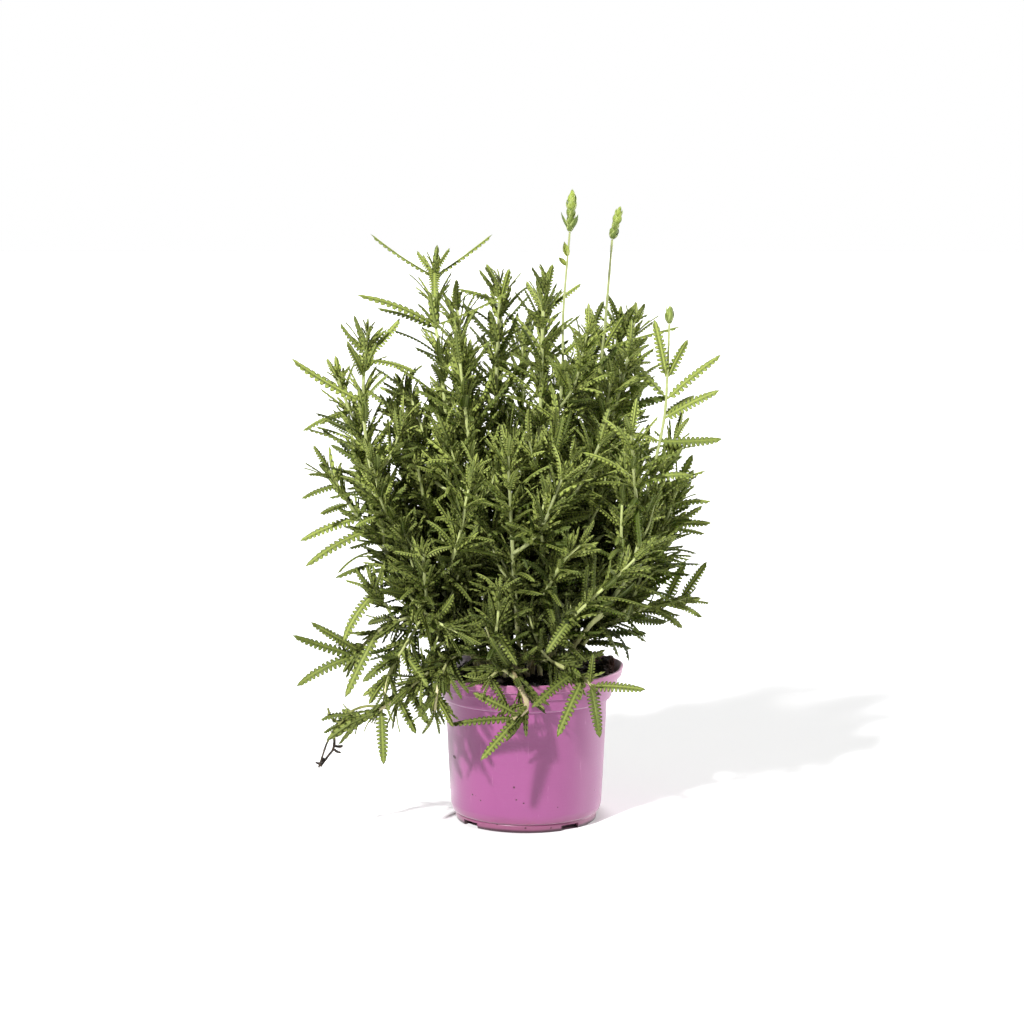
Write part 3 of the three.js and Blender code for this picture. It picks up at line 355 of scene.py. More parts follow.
class LavenderSizes(bpy.types.PropertyGroup):
    """Sizes of the fine growth that the solids leave out."""

    leaf_thickness: bpy.props.FloatProperty(
        name="Leaf thickness", description="Thickness of a leaf at its midrib",
        default=1.0 * MM, min=0.2 * MM, max=3 * MM, unit="LENGTH",
    )
    side_shoots: bpy.props.IntProperty(
        name="Side shoots", description="Most side shoots added to a stem", default=6, min=0, max=12,
    )
    tuft_leaves: bpy.props.IntProperty(
        name="Tuft leaves", description="Young leaves in each leaf axil", default=4, min=0, max=4,
    )
    crumb: bpy.props.FloatProperty(
        name="Crumb", description="Mean radius of a crumb of soil",
        default=1.1 * MM, min=0.3 * MM, max=4 * MM, unit="LENGTH",
    )
    crumb_density: bpy.props.FloatProperty(
        name="Crumb density", description="Crumbs on a square metre of soil", default=260000, min=0,
    )


def colour_property(name, description, default):
    return bpy.props.FloatVectorProperty(
        name=name, description=description, default=default, size=3, min=0, max=1, subtype="COLOR",
    )


class LavenderColours(bpy.types.PropertyGroup):
    """Colours of the plant, its pot and the soil."""

    leaf_dark: colour_property("Dark leaf", "The darkest leaves' upper side", srgb(49, 64, 4))
    leaf_light: colour_property("Light leaf", "The lightest leaves' upper side", srgb(162, 174, 86))
    leaf_young: colour_property("Young leaf", "Leaves at the tips", srgb(189, 200, 110))
    leaf_under: colour_property("Underside", "The felted underside of a leaf", srgb(122, 135, 76))
    stem_green: colour_property("Green stem", "A stem above the soil", srgb(176, 188, 104))
    stem_brown: colour_property("Woody stem", "A stem near the soil", srgb(116, 92, 62))
    bract: colour_property("Bract", "The flower spikes' bracts", srgb(146, 162, 62))
    withered: colour_property("Withered stem", "The dry stem and its leaves", srgb(34, 27, 23))
    pot: colour_property("Pot", "The pot's plastic", srgb(132, 61, 113))
    soil: colour_property("Soil", "Potting soil", srgb(34, 27, 20))


def sizes():
    return bpy.context.scene.lavender_sizes


def colours():
    return bpy.context.scene.lavender_colours


# ---- Node trees written as formulas ----


def operator(operation, swapped=False):
    """A method of Wire that adds one node of a formula."""

    def method(self, other):
        first, second = (other, self) if swapped else (self, other)
        return self.sheet.maths(operation, first, second)

    return method


class Wire:
    """A node's output, on which Python's operators add the nodes of a formula."""

    def __init__(self, sheet, socket):
        self.sheet = sheet
        self.socket = socket

    def at(self, name):
        """Another output of the same node."""
        return Wire(self.sheet, self.socket.node.outputs[name])

    def is_vector(self):
        return self.socket.type == "VECTOR"

    __add__, __sub__, __mul__ = operator("ADD"), operator("SUBTRACT"), operator("MULTIPLY")
    __truediv__, __pow__, __rsub__ = operator("DIVIDE"), operator("POWER"), operator("SUBTRACT", swapped=True)


class Sheet:
    """A node tree, shader or geometry, with short ways to add to it."""

    def __init__(self, tree):
        self.tree = tree

    def put(self, kind, inputs=None, out=0, **settings):
        """Adds a node, with its settings first, and returns one of its outputs."""
        node = self.tree.nodes.new(kind)
        for name, value in settings.items():
            setattr(node, name, value)
        for key, value in (inputs or {}).items():
            self.join(value, node.inputs[key])
        return Wire(self, node.outputs[out])

    def join(self, value, socket):
        if isinstance(value, Wire):
            self.tree.links.new(value.socket, socket)
        else:
            socket.default_value = (*value, 1) if socket.type == "RGBA" else value

    def maths(self, operation, first, second):
        if not (isinstance(first, Wire) and first.is_vector()):
            return self.put("ShaderNodeMath", {0: first, 1: second}, operation=operation)
        if operation == "MULTIPLY":
            return self.put("ShaderNodeVectorMath", {0: first, "Scale": second}, operation="SCALE")
        return self.put("ShaderNodeVectorMath", {0: first, 1: second}, operation=operation)

    def of(self, operation, value):
        """A function of one value, such as its sine."""
        return self.put("ShaderNodeMath", {0: value}, operation=operation)

    def fade(self, value, low, high, start=0.0, end=1.0):
        """start below low, end above high, and smooth between them."""
        inputs = {"Value": value, "From Min": low, "From Max": high, "To Min": start, "To Max": end}
        return self.put("ShaderNodeMapRange", inputs, interpolation_type="SMOOTHSTEP", clamp=True)

    def split(self, vector):
        parts = self.put("ShaderNodeSeparateXYZ", {0: vector})
        return parts, parts.at(1), parts.at(2)


class Paint(Sheet):
    """A material and the nodes that lead to its Principled shader. Its colours are wires, linear
    colours or the names of colours that a user sets."""

    def __init__(self, name, **fixed):
        self.material = bpy.data.materials.new(name)
        self.material.use_nodes = True
        super().__init__(self.material.node_tree)
        self.inputs = self.tree.nodes["Principled BSDF"].inputs
        for socket, value in fixed.items():
            self.inputs[socket.replace("_", " ")].default_value = value

    def coordinates(self):
        return self.put("ShaderNodeTexCoord").at("Object")

    def attribute(self, name, out="Fac"):
        return self.put("ShaderNodeAttribute", attribute_name=name, attribute_type="GEOMETRY").at(out)

    def noise(self, scale, detail=3.0, at=None, roughness=0.5):
        place = at or self.coordinates()
        inputs = {"Vector": place, "Scale": scale, "Detail": detail, "Roughness": roughness}
        return self.put("ShaderNodeTexNoise", inputs)

    def mix(self, share, *pair):
        first, second = (getattr(colours(), each) if isinstance(each, str) else each for each in pair)
        return self.put("ShaderNodeMix", {0: share, 6: first, 7: second}, out=2, data_type="RGBA")

    def layers(self, colour, *coats):
        """A colour under coats, each given as the share that it covers and its own colour."""
        for share, coat in coats:
            colour = self.mix(share, colour, coat)
        return colour

    def finish(self, colour, roughness, relief, depth, strength=1.0):
        """Leads all to the shader, with relief of some depth as a bump, and returns the material."""
        bump = self.put("ShaderNodeBump", {"Height": relief, "Distance": depth, "Strength": strength})
        for socket, value in {"Base Color": colour, "Roughness": roughness, "Normal": bump}.items():
            self.join(value, self.inputs[socket])
        return self.material


# ---- Materials ----

LIVING = {"Subsurface_Weight": 0.1, "Subsurface_Scale": 0.001}


def leaf_paint():
    """A leaf: pleated between its teeth, with a pale midrib and a felted underside. Painted shade darkens
    the creases between its teeth, its margins, and leaves low in the bush, most near its middle."""
    paint = Paint("lavender leaf", Subsurface_Radius=(0.6, 1.0, 0.2), Specular_IOR_Level=0.12, **LIVING)
    along, across, above = paint.split(paint.attribute("blade", "Vector"))
    tint, age, phase = (paint.attribute(name) for name in ("tint", "age", "phase"))
    aside = paint.of("ABSOLUTE", across)
    mottle = paint.noise(900, 4)
    share = paint.fade(tint + paint.noise(120, 2) * 0.3 - 0.15 + mottle * 0.24 - 0.12, 0.0, 1.0)
    furrow = paint.fade(paint.of("COSINE", phase * TURN), 0.0, 0.9)
    midrib = paint.fade(aside, 0.02, 0.1, 1.0, 0.0) * paint.fade(along, 0.4, 1.0, 0.25, 0.05)
    tip = paint.fade(along, 0.93, 1.0) * paint.fade(tint, 0.1, 0.3, 0.8, 0.3)
    under = paint.fade(above, -0.25, -0.05, 0.6, 0.0) * paint.fade(aside, 0.3, 0.6, 1.0, 0.0)
    x, y, height = paint.split(paint.coordinates())
    reach = (x * x + y * y) ** 0.5
    # Painted shade: leaves low in the bush are darkened, most near its middle, as if the bush shaded them.
    painted_bush_shade = paint.fade(reach, 0.03, 0.12, 0.75, 0.28) * paint.fade(height, 0.14, 0.26, 1.0, 0.0)
    colour = paint.layers(
        "leaf_dark", (share, "leaf_light"), (paint.fade(age, 0.0, 0.8, 0.75, 0.0), "leaf_young"),
        # Painted shade in the creases between the teeth.
        (furrow * paint.fade(aside, 0.04, 0.3) * 0.85, srgb(28, 38, 1)),
        # Painted shade along the margins, which roll under; then the pale midrib.
        (paint.fade(aside, 0.45, 0.9) * 0.4, srgb(52, 66, 3)), (midrib, "stem_green"),
        (tip, srgb(64, 52, 22)), (under, "leaf_under"), (painted_bush_shade, srgb(20, 28, 1)),
    )
    pleat = (1.0 - furrow) * paint.fade(aside, 0.05, 0.5)
    relief = paint.fade(aside, 0.0, 0.35) * 0.6 + pleat * 1.4 + mottle * 0.25
    return paint.finish(colour, paint.fade(mottle, 0.3, 0.7, 0.36, 0.54) + under * 0.25, relief, 0.8 * MM)


def stem_paint():
    """A square stem: pale green with fine ribs, woody near the soil and blanched in it."""
    paint = Paint("lavender stem", Subsurface_Radius=(0.7, 1.0, 0.4), Sheen_Weight=0.1, **LIVING)
    around = paint.split(paint.attribute("blade", "Vector"))[1]
    tint = paint.attribute("tint")
    height = paint.split(paint.coordinates())[2]
    streaks = paint.noise(500, 4)
    wood = paint.fade(height + streaks * 0.03, 0.105, 0.175, 1.0, 0.0) * paint.fade(tint, 0.1, 0.9, 1.0, 0.45)
    blanched = paint.fade(height, 0.1, 0.108, 1.0, 0.0) * paint.fade(tint, 0.5, 0.9, 0.4, 1.0)
    colour = paint.layers(
        paint.mix(0.6, "leaf_light", "leaf_dark"),
        (paint.fade(tint + streaks * 0.5 - 0.25, 0.1, 0.9), "stem_green"), (0.45, srgb(190, 196, 140)),
        (wood * 0.9, "stem_brown"), (blanched * 0.85, srgb(232, 220, 176)),
    )
    relief = paint.of("COSINE", around * TURN * 12) * 0.3 + streaks
    return paint.finish(colour, paint.fade(streaks, 0.3, 0.7, 0.45, 0.7), relief, 0.25 * MM, 0.5)


def bract_paint():
    """A green bract with darker veins, painted shade at its foot and thin pale edges."""
    paint = Paint("green bract", Subsurface_Radius=(0.6, 1.0, 0.3), Sheen_Weight=0.1, **LIVING)
    along, across, _ = paint.split(paint.attribute("blade", "Vector"))
    mottle = paint.noise(700, 4)
    veins = paint.of("COSINE", across * TURN * 4.5) * 0.5 + 0.5
    colour = paint.layers(
        srgb(84, 102, 26), (paint.fade(paint.attribute("tint") + mottle * 0.4 - 0.2, 0, 1), "bract"),
        # Darker veins, then painted shade at the foot, where the bracts overlap.
        (veins * 0.16, srgb(84, 104, 36)), (paint.fade(along, 0.0, 0.45, 0.45, 0.0), srgb(76, 92, 26)),
        (paint.fade(paint.of("ABSOLUTE", across), 0.5, 0.8) * 0.5, srgb(190, 200, 124)),
    )
    roughness = paint.fade(mottle, 0.3, 0.7, 0.42, 0.62)
    return paint.finish(colour, roughness, veins + mottle * 0.6, 0.15 * MM, 0.4)


def withered_paint():
    """Wrinkled growth that dries from olive green to nearly black at its hanging end."""
    paint = Paint("withered growth")
    wrinkle = paint.noise(420, 6)
    fresh = paint.fade(paint.split(paint.coordinates())[2] + wrinkle * 0.01, 0.066, 0.076)
    olive = paint.mix(paint.fade(wrinkle, 0.35, 0.7), srgb(104, 108, 52), srgb(146, 148, 84))
    dry = paint.mix(paint.fade(wrinkle, 0.4, 0.75) * 0.35, "withered", srgb(120, 96, 66))
    return paint.finish(paint.mix(fresh, dry, olive), 0.85, wrinkle, 0.6 * MM)


def soil_paint():
    """Potting soil: near black when moist, with brown fibres, a few pale grains and painted light on the
    heap.
    """
    paint = Paint("potting soil")
    lumps = paint.noise(160, 6, roughness=0.65)
    fibres = paint.noise(700, 5, roughness=0.7)
    brown = paint.mix(paint.fade(fibres, 0.5, 0.72), "soil", srgb(82, 58, 38))
    grains = paint.put("ShaderNodeTexVoronoi", {"Vector": paint.coordinates(), "Scale": 420.0})
    pale = paint.fade(grains, 0.06, 0.12, 1.0, 0.0) * paint.fade(paint.noise(60, 1), 0.56, 0.64)
    # Painted light: the heap at the right rim is painted a lit reddish brown.
    heap = paint.fade(paint.split(paint.coordinates())[0] + lumps * 0.02, 0.058, 0.072)
    colour = paint.layers(
        srgb(16, 13, 10), (paint.fade(lumps, 0.35, 0.6), brown), (pale * 0.4, srgb(130, 108, 80)),
        (heap * 0.6, srgb(88, 44, 34)),
    )
    return paint.finish(colour, paint.fade(lumps, 0.3, 0.7, 0.8, 1.0), lumps + fibres * 0.6, 1.2 * MM)


def pot_paint():
    """Thin moulded plastic with a soft gloss, faint moulding marks, scuffs and specks of soil, with painted
    light on the rim band, painted shade inside the rim and a painted contact shadow at the bottom edge."""
    paint = Paint(
        "pink nursery pot", Subsurface_Weight=0.12, Subsurface_Scale=0.002, Subsurface_Radius=(1.0, 0.4, 0.8),
        Sheen_Weight=0.5, Sheen_Roughness=0.4,
    )
    place = paint.coordinates()
    x, y, height = paint.split(place)
    cloud = paint.noise(22, 3)
    foot = paint.fade(height + cloud * 0.006, 0.006, 0.016, 1.0, 0.0)
    # Painted light: the band at the rim is lighter, as if lit from above.
    rim_painted_light = paint.fade(height + cloud * 0.02, 0.1, 0.115)
    upright = paint.put("ShaderNodeMapping", {"Vector": place, "Scale": (1.0, 1.0, 0.12)})
    scuffs = paint.fade(paint.noise(260, 5, upright, 0.7), 0.62, 0.72)
    spots = paint.put("ShaderNodeTexVoronoi", {"Vector": place, "Scale": 150.0})
    where = paint.fade(paint.noise(34, 2), 0.54, 0.62) * paint.fade(height, 0.0, 0.05, 0.8, 0.2)
    speck = paint.fade(spots, 0.06, 0.12, 1.0, 0.0) * where
    front = paint.fade(y, -0.02, 0.0, 1.0, 0.0)
    for across, up, size in SPECKS:
        apart = ((x - across * MM) ** 2.0 + (height - up * MM) ** 2.0) ** 0.5
        speck = paint.maths("MAXIMUM", speck, paint.fade(apart, size * 0.6 * MM, size * MM, 1.0, 0.0) * front)
    # Painted contact shadow: a near black band along the bottom edge, where the pot meets the floor.
    painted_contact_shadow = paint.fade(height + cloud * 0.0014, 0.0018, 0.0034, 0.9, 0.0)
    smear = paint.fade(paint.noise(70, 6, roughness=0.7), 0.6, 0.75)
    smear = smear * paint.fade(height, 0.0, 0.03, 0.55, 0.08)
    # Painted shade: the inner wall, left of the middle, is darkened as if shaded.
    painted_inner_shade = paint.attribute("inside") * paint.fade(x, 0.0, 0.03, 0.85, 0.0)
    colour = paint.layers(
        "pot", (paint.fade(cloud, 0.3, 0.7) * 0.35, srgb(147, 77, 126)), (foot * 0.7, srgb(122, 68, 90)),
        (rim_painted_light * 0.6, srgb(176, 112, 145)), (scuffs * 0.25, srgb(190, 138, 170)),
        (speck * 0.9, srgb(70, 32, 46)), (painted_contact_shadow, srgb(40, 18, 28)), (smear, srgb(128, 74, 92)),
        (painted_inner_shade, srgb(58, 34, 40)),
    )
    roughness = paint.fade(cloud, 0.3, 0.7, 0.34, 0.46) + speck * 0.4 + scuffs * 0.15 + smear * 0.3
    rows = paint.of("SINE", height * (TURN / (2.2 * MM)))
    relief = rows * 0.06 + paint.noise(1400, 2) * 0.35 + cloud + speck * 2.0
    return paint.finish(colour, roughness, relief, 0.25 * MM, 0.5)


def floor_paint():
    """Pale matt board, which glows a little, though not under the pot."""
    paint = Paint("pale floor", Emission_Strength=FLOOR_GLOW, Roughness=0.9)
    x, y, _ = paint.split(paint.coordinates())
    away = paint.fade((x * x + y * y) ** 0.5, 0.045, 0.062)
    paint.join(paint.mix(away, (0.0, 0.0, 0.0), (1.0, 1.0, 1.0)), paint.inputs["Emission Color"])
    white = paint.mix(paint.noise(60, 3) * 0.5, srgb(248, 248, 248), srgb(243, 243, 242))
    paint.join(white, paint.inputs["Base Color"])
    return paint.material


# ---- Small helpers ----


def between(low, high, share):
    return low + (high - low) * share


def draw(shoot, leaf, purpose):
    """A repeatable draw between 0 and 1, for a shoot, a leaf of it and a purpose."""
    wave = math.sin(shoot * 12.9898 + leaf * 78.233 + purpose * 37.719 + SEED) * 43758.5453
    return wave - math.floor(wave)


def square_to(direction, wanted):
    """The part of a vector that stands square to a direction, with length 1."""
    return (wanted - direction * wanted.dot(direction)).normalized()


def turned(vector, axis, angle):
    return Quaternion(axis, angle) @ vector


def put_in_scene(name, data):
    thing = bpy.data.objects.new(name, data)
    bpy.context.scene.collection.objects.link(thing)
    return thing


def helper_from(shape, name):
    """A helper object, which is discarded later, from what bmesh holds."""
    mesh = bpy.data.meshes.new(name)
    shape.to_mesh(mesh)
    shape.free()
    mesh.shade_smooth()
    return put_in_scene(name, mesh)


def piece_from(name, points, faces, material):
    """A smooth mesh object from points in millimetres."""
    mesh = bpy.data.meshes.new(name)
    mesh.from_pydata([Vector(point) * MM for point in points], [], faces)
    mesh.validate()
    mesh.shade_smooth()
    mesh.materials.append(material)
    return put_in_scene(name, mesh)


def store(mesh, name, kind, values, domain="POINT"):
    """An attribute of a mesh, from numbers or, where it is a vector, from rows of three."""
    data = mesh.attributes.new(name, kind, domain).data
    if kind == "FLOAT_VECTOR":
        data.foreach_set("vector", [number for row in values for number in row])
    else:
        data.foreach_set("value", values)


def settle(piece):
    """Makes a piece's modifiers part of its mesh."""
    depsgraph = bpy.context.evaluated_depsgraph_get()
    mesh = bpy.data.meshes.new_from_object(piece.evaluated_get(depsgraph), depsgraph=depsgraph)
    piece.modifiers.clear()
    old = piece.data
    piece.data = mesh
    mesh.name = piece.name
    bpy.data.meshes.remove(old)


def discard(*things):
    """Removes helper objects with their meshes."""
    for thing in things:
        mesh = thing.data
        bpy.data.objects.remove(thing)
        bpy.data.meshes.remove(mesh)


def keep_for(piece, node):
    """The piece rides on the part's only body and stands for a solid."""
    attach(piece, "root")
    if node:
        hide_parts(node)


def rounded(corners):
    """A profile of corners (radius, height, rounding), each rounded corner made of short steps."""
    line = []
    for i, (radius, height, rounding) in enumerate(corners):
        here = Vector((radius, height))
        if not rounding:
            line.append(here)
            continue
        start = here + (Vector(corners[i - 1][:2]) - here).normalized() * rounding
        end = here + (Vector(corners[i + 1][:2]) - here).normalized() * rounding
        for share in (0, 0.25, 0.5, 0.75, 1):
            line.append(start.lerp(here, share).lerp(here.lerp(end, share), share))
    return line


def lathe(profile, sides, move):
    """Points and faces of a closed profile turned about +Z. It starts and ends on the axis."""
    points = [move(0, 0, profile[0].y)]
    for radius, height in profile[1:-1]:
        for i in range(sides):
            angle = TURN * i / sides
            points.append(move(radius * math.cos(angle), radius * math.sin(angle), height))
    last = len(points)
    points.append(move(0, 0, profile[-1].y))
    faces = []
    for i in range(sides):
        after = (i + 1) % sides
        faces.append((0, 1 + after, 1 + i))
        faces.append((last, last - sides + i, last - sides + after))
        for low in range(1, last - sides, sides):
            high = low + sides
            faces.append((low + i, low + after, high + after, high + i))
    return points, faces


# ---- The pot and the soil ----


def inner_radius(z):
    bottom = FLOOR_Z + WALL
    share = (z - bottom) / (COLLAR_Z - bottom)
    return between(FOOT_RADIUS - 1.4, BODY_TOP_RADIUS - WALL, share)


def pushed(x, y, z):
    """The rim is pushed out and up on the right."""
    share = max(0, (z - COLLAR_Z) / (POT_HEIGHT - COLLAR_Z))
    side = max(0, x / RIM_RADIUS) ** 2 * share
    grow = 1 + PUSH_OUT * side / RIM_RADIUS
    return Vector((x * grow, y * grow, z + PUSH_UP * side))


def soft_wall(x, y, z):
    """The pushed rim, and the slight waves that a thin wall has."""
    place = pushed(x, y, z)
    reach = math.hypot(x, y)
    if reach < FOOT_RADIUS - 4 or z < SHOULDER_Z:
        return place
    wave = noise.noise(Vector((x, y, z * 0.5)) / 26) * 0.35
    return place + Vector((x, y, 0)) / reach * wave


def soil_top(x, y):
    """The height of the soil: a low lumpy mound that rises to the right."""
    reach = math.hypot(x, y) / (RIM_RADIUS - 4)
    mound = between(SOIL_CROWN, SOIL_EDGE, reach * reach) + SOIL_RISE * max(0, x / RIM_RADIUS)
    return mound + SOIL_LUMP * math.sin(x * 0.31 + 1) * math.cos(y * 0.27 - x * 0.11)


def cutters():
    """The foot's drain notches and the floor's drain holes, as one mesh."""
    cut = bmesh.new()
    for i in range(NOTCHES):
        angle = math.radians(FIRST_NOTCH + i * 360 / NOTCHES)
        place = Matrix.Rotation(angle, 4, "Z") @ Matrix.Translation((0, -FOOT_RADIUS * MM, 0))
        size = Matrix.Diagonal((NOTCH_WIDTH * MM, 9 * MM, 2 * NOTCH_HEIGHT * MM, 1))
        bmesh.ops.create_cube(cut, size=1, matrix=place @ size)
    for i in range(DRAINS):
        angle = TURN * i / DRAINS
        centre = Vector((math.sin(angle), -math.cos(angle), 0)) * DRAIN_RING * MM
        bmesh.ops.create_cone(
            cut, cap_ends=True, segments=24, depth=4 * WALL * MM,
            radius1=DRAIN_RADIUS * MM, radius2=DRAIN_RADIUS * MM,
            matrix=Matrix.Translation(centre + UP * (FLOOR_Z + WALL / 2) * MM),
        )
    return helper_from(cut, "cutters")


def faces_inwards(face):
    return face.normal.x * face.center.x + face.normal.y * face.center.y < 0


def make_pot():
    rim, top, collar, lip = RIM_RADIUS, POT_HEIGHT, COLLAR_Z, COLLAR_Z - LIP_DROP
    foot, step, low, floor = FOOT_RADIUS, FOOT_HEIGHT, BODY_FOOT_RADIUS, FLOOR_Z + WALL
    profile = [
        (0, 0, 0), (PAD_RADIUS, 0, 0.8), (PAD_RADIUS + 2, FLOOR_Z, 0.8), (foot - 3.8, FLOOR_Z, 0.8),
        (foot - 3, 0, 0.5), (foot - 0.2, 0, 0.7), (foot + 0.3, step - 1.3, 0.3),
        (foot - 0.1, step - 0.4, 0.25), (foot + 1.9, step + 0.5, 0.5), (foot + 2.5, step + 2, 0.4),
        (low, SHOULDER_Z, 1.6),
        (between(low, BODY_TOP_RADIUS, 0.33), 34, 0), (between(low, BODY_TOP_RADIUS, 0.66), 59, 0),
        (BODY_TOP_RADIUS, lip - 0.9, 0.4), (rim - 4.2, lip, 0.4), (rim - 3.6, lip + 1, 0.4),
        (rim - 3.2, top - 10.4, 0.3), (rim - 1.5, top - 10, 0.3), (rim - 1.7, top - 5.6, 0.3),
        (rim, top - 5.2, 0.4), (rim, top, 0.8),
        (rim - LIP_WALL, top, 0.7), (rim - COLLAR_WALL, collar + COLLAR_STEP, 0.6),
        (inner_radius(collar - 1), collar - 1, 0.6), (inner_radius(floor), floor, 1.2),
        (PAD_RADIUS + 3, floor, 0.6), (PAD_RADIUS + 1, WALL, 0.6), (0, WALL, 0),
    ]
    pot = piece_from("nursery_pot", *lathe(rounded(profile), POT_SIDES, soft_wall), pot_paint())
    tool = cutters()
    cut = pot.modifiers.new("drainage", "BOOLEAN")
    cut.object, cut.operation, cut.solver = tool, "DIFFERENCE", "EXACT"
    settle(pot)
    discard(tool)
    pot.data.set_sharp_from_angle(angle=math.radians(38))
    store(pot.data, "inside", "FLOAT", [float(faces_inwards(face)) for face in pot.data.polygons], "FACE")
    keep_for(pot, "pot")


def crumb_tree():
    """Crumbs of many sizes on the top faces of the soil, larger on the heap and small at the rim."""
    sheet = Growth("soil crumbs", {"Crumb": "Object", "Radius": "Float", "Density": "Float"})
    facing = sheet.split(sheet.put("GeometryNodeInputNormal"))[2]
    x, y, height = sheet.split(sheet.put("GeometryNodeInputPosition"))
    reach = (x * x + y * y) ** 0.5
    is_high = sheet.maths("GREATER_THAN", height, (SOIL_EDGE - 2) * MM)
    is_top = sheet.maths("GREATER_THAN", facing, 0.4) * is_high
    is_top = is_top * sheet.maths("LESS_THAN", reach - x * 0.08, CRUMB_REACH * MM)
    points = sheet.put("GeometryNodeDistributePointsOnFaces", {
        "Mesh": sheet.given["Geometry"], "Selection": is_top, "Density": sheet.given["Density"], "Seed": SEED,
    }, distribute_method="RANDOM")
    size = sheet.lots("FLOAT", SEED + 1, {2: 0.0, 3: 1.0}, out=1)
    grown = (size * size * 1.9 + 0.45) * sheet.fade(x, 0.04, 0.056, 1.0, 1.8) * sheet.given["Radius"]
    room = sheet.maths("MAXIMUM", (x * 0.035 - reach + 0.0565) * 0.5, 0.0004)
    stretch = sheet.lots("FLOAT_VECTOR", SEED + 2, {0: (0.7,) * 3, 1: (1.3,) * 3})
    spin = sheet.lots("FLOAT_VECTOR", SEED + 3, {0: (0.0,) * 3, 1: (TURN,) * 3})
    crumbs = sheet.put("GeometryNodeInstanceOnPoints", {
        "Points": points, "Instance": sheet.shape_of("Crumb"), "Rotation": spin,
        "Scale": stretch * sheet.maths("MINIMUM", grown, room),
    })
    return sheet.finish(sheet.put("GeometryNodeRealizeInstances", {0: crumbs}))


def make_soil():
    bottom = FLOOR_Z + WALL + SEAT
    slope = (COLLAR_WALL - LIP_WALL) / (POT_HEIGHT - COLLAR_Z - COLLAR_STEP)
    neck = RIM_RADIUS - COLLAR_WALL - SEAT
    edge = neck + slope * (SOIL_EDGE - COLLAR_Z - 3)
    outline = [
        (0, bottom), (inner_radius(bottom) - SEAT, bottom),
        (inner_radius(COLLAR_Z - 1) - SEAT, COLLAR_Z - 1), (neck, COLLAR_Z + 1.8),
        *[(edge * (1 - i / SOIL_RINGS), SOIL_EDGE) for i in range(SOIL_RINGS + 1)],
    ]

    def settled(x, y, z):
        if z < SOIL_EDGE:
            return pushed(x, y, z)
        place = pushed(x, y, SOIL_EDGE - 2)
        rough = noise.fractal(Vector((x, y, 0)) / 7, 0.8, 2.0, 4) * 0.9
        aside = (x - HEAP_PLACE[0]) / HEAP_SPREAD[0], (y - HEAP_PLACE[1]) / HEAP_SPREAD[1]
        heap = HEAP_HEIGHT * math.exp(-aside[0] ** 2 - aside[1] ** 2)
        return Vector((place.x, place.y, soil_top(x, y) + rough + heap))

    paint = soil_paint()
    soil = piece_from("potting_soil", *lathe([Vector(spot) for spot in outline], SOIL_SIDES, settled), paint)
    ball = bmesh.new()
    bmesh.ops.create_icosphere(ball, subdivisions=1, radius=1)
    for corner in ball.verts:
        corner.co *= 1 + 0.35 * noise.noise(corner.co * 1.7)
    crumb = helper_from(ball, "crumb")
    given = {"Crumb": crumb, "Radius": sizes().crumb, "Density": sizes().crumb_density, "Material": paint}
    grow(soil, crumb_tree(), given)
    discard(crumb)
    keep_for(soil, "soil")


# ---- Geometry Nodes ----


class Growth(Sheet):
    """A geometry tree with named inputs. It makes something out of what it is given, paints it and
    joins it to the piece."""

    def __init__(self, name, inputs):
        super().__init__(bpy.data.node_groups.new(name, "GeometryNodeTree"))
        for label, kind in {"Geometry": "Geometry", **inputs, "Material": "Material"}.items():
            self.tree.interface.new_socket(label, in_out="INPUT", socket_type="NodeSocket" + kind)
        self.tree.interface.new_socket("Geometry", in_out="OUTPUT", socket_type="NodeSocketGeometry")
        start = self.tree.nodes.new("NodeGroupInput")
        self.given = {socket.name: Wire(self, socket) for socket in start.outputs if socket.name}

    def lots(self, kind, seed, limits, out=0):
        """A draw for each instance."""
        return self.put("FunctionNodeRandomValue", {**limits, "Seed": seed}, out, data_type=kind)

    def shape_of(self, label):
        """The mesh of an object that is given."""
        return self.put("GeometryNodeObjectInfo", {"Object": self.given[label]}).at("Geometry")

    def finish(self, made):
        painted = self.put("GeometryNodeSetMaterial", {0: made, "Material": self.given["Material"]})
        both = self.tree.nodes.new("GeometryNodeJoinGeometry")
        for part in (painted, self.given["Geometry"]):
            self.join(part, both.inputs[0])
        self.join(Wire(self, both.outputs[0]), self.tree.nodes.new("NodeGroupOutput").inputs[0])
        return self.tree


def grow(piece, tree, values):
    """Runs a tree on a piece, with values for its named inputs, and keeps the result as its mesh."""
    modifier = piece.modifiers.new(tree.name, "NODES")
    modifier.node_group = tree
    for item in tree.interface.items_tree:
        if item.in_out == "INPUT" and item.name in values:
            modifier[item.identifier] = values[item.name]
    settle(piece)


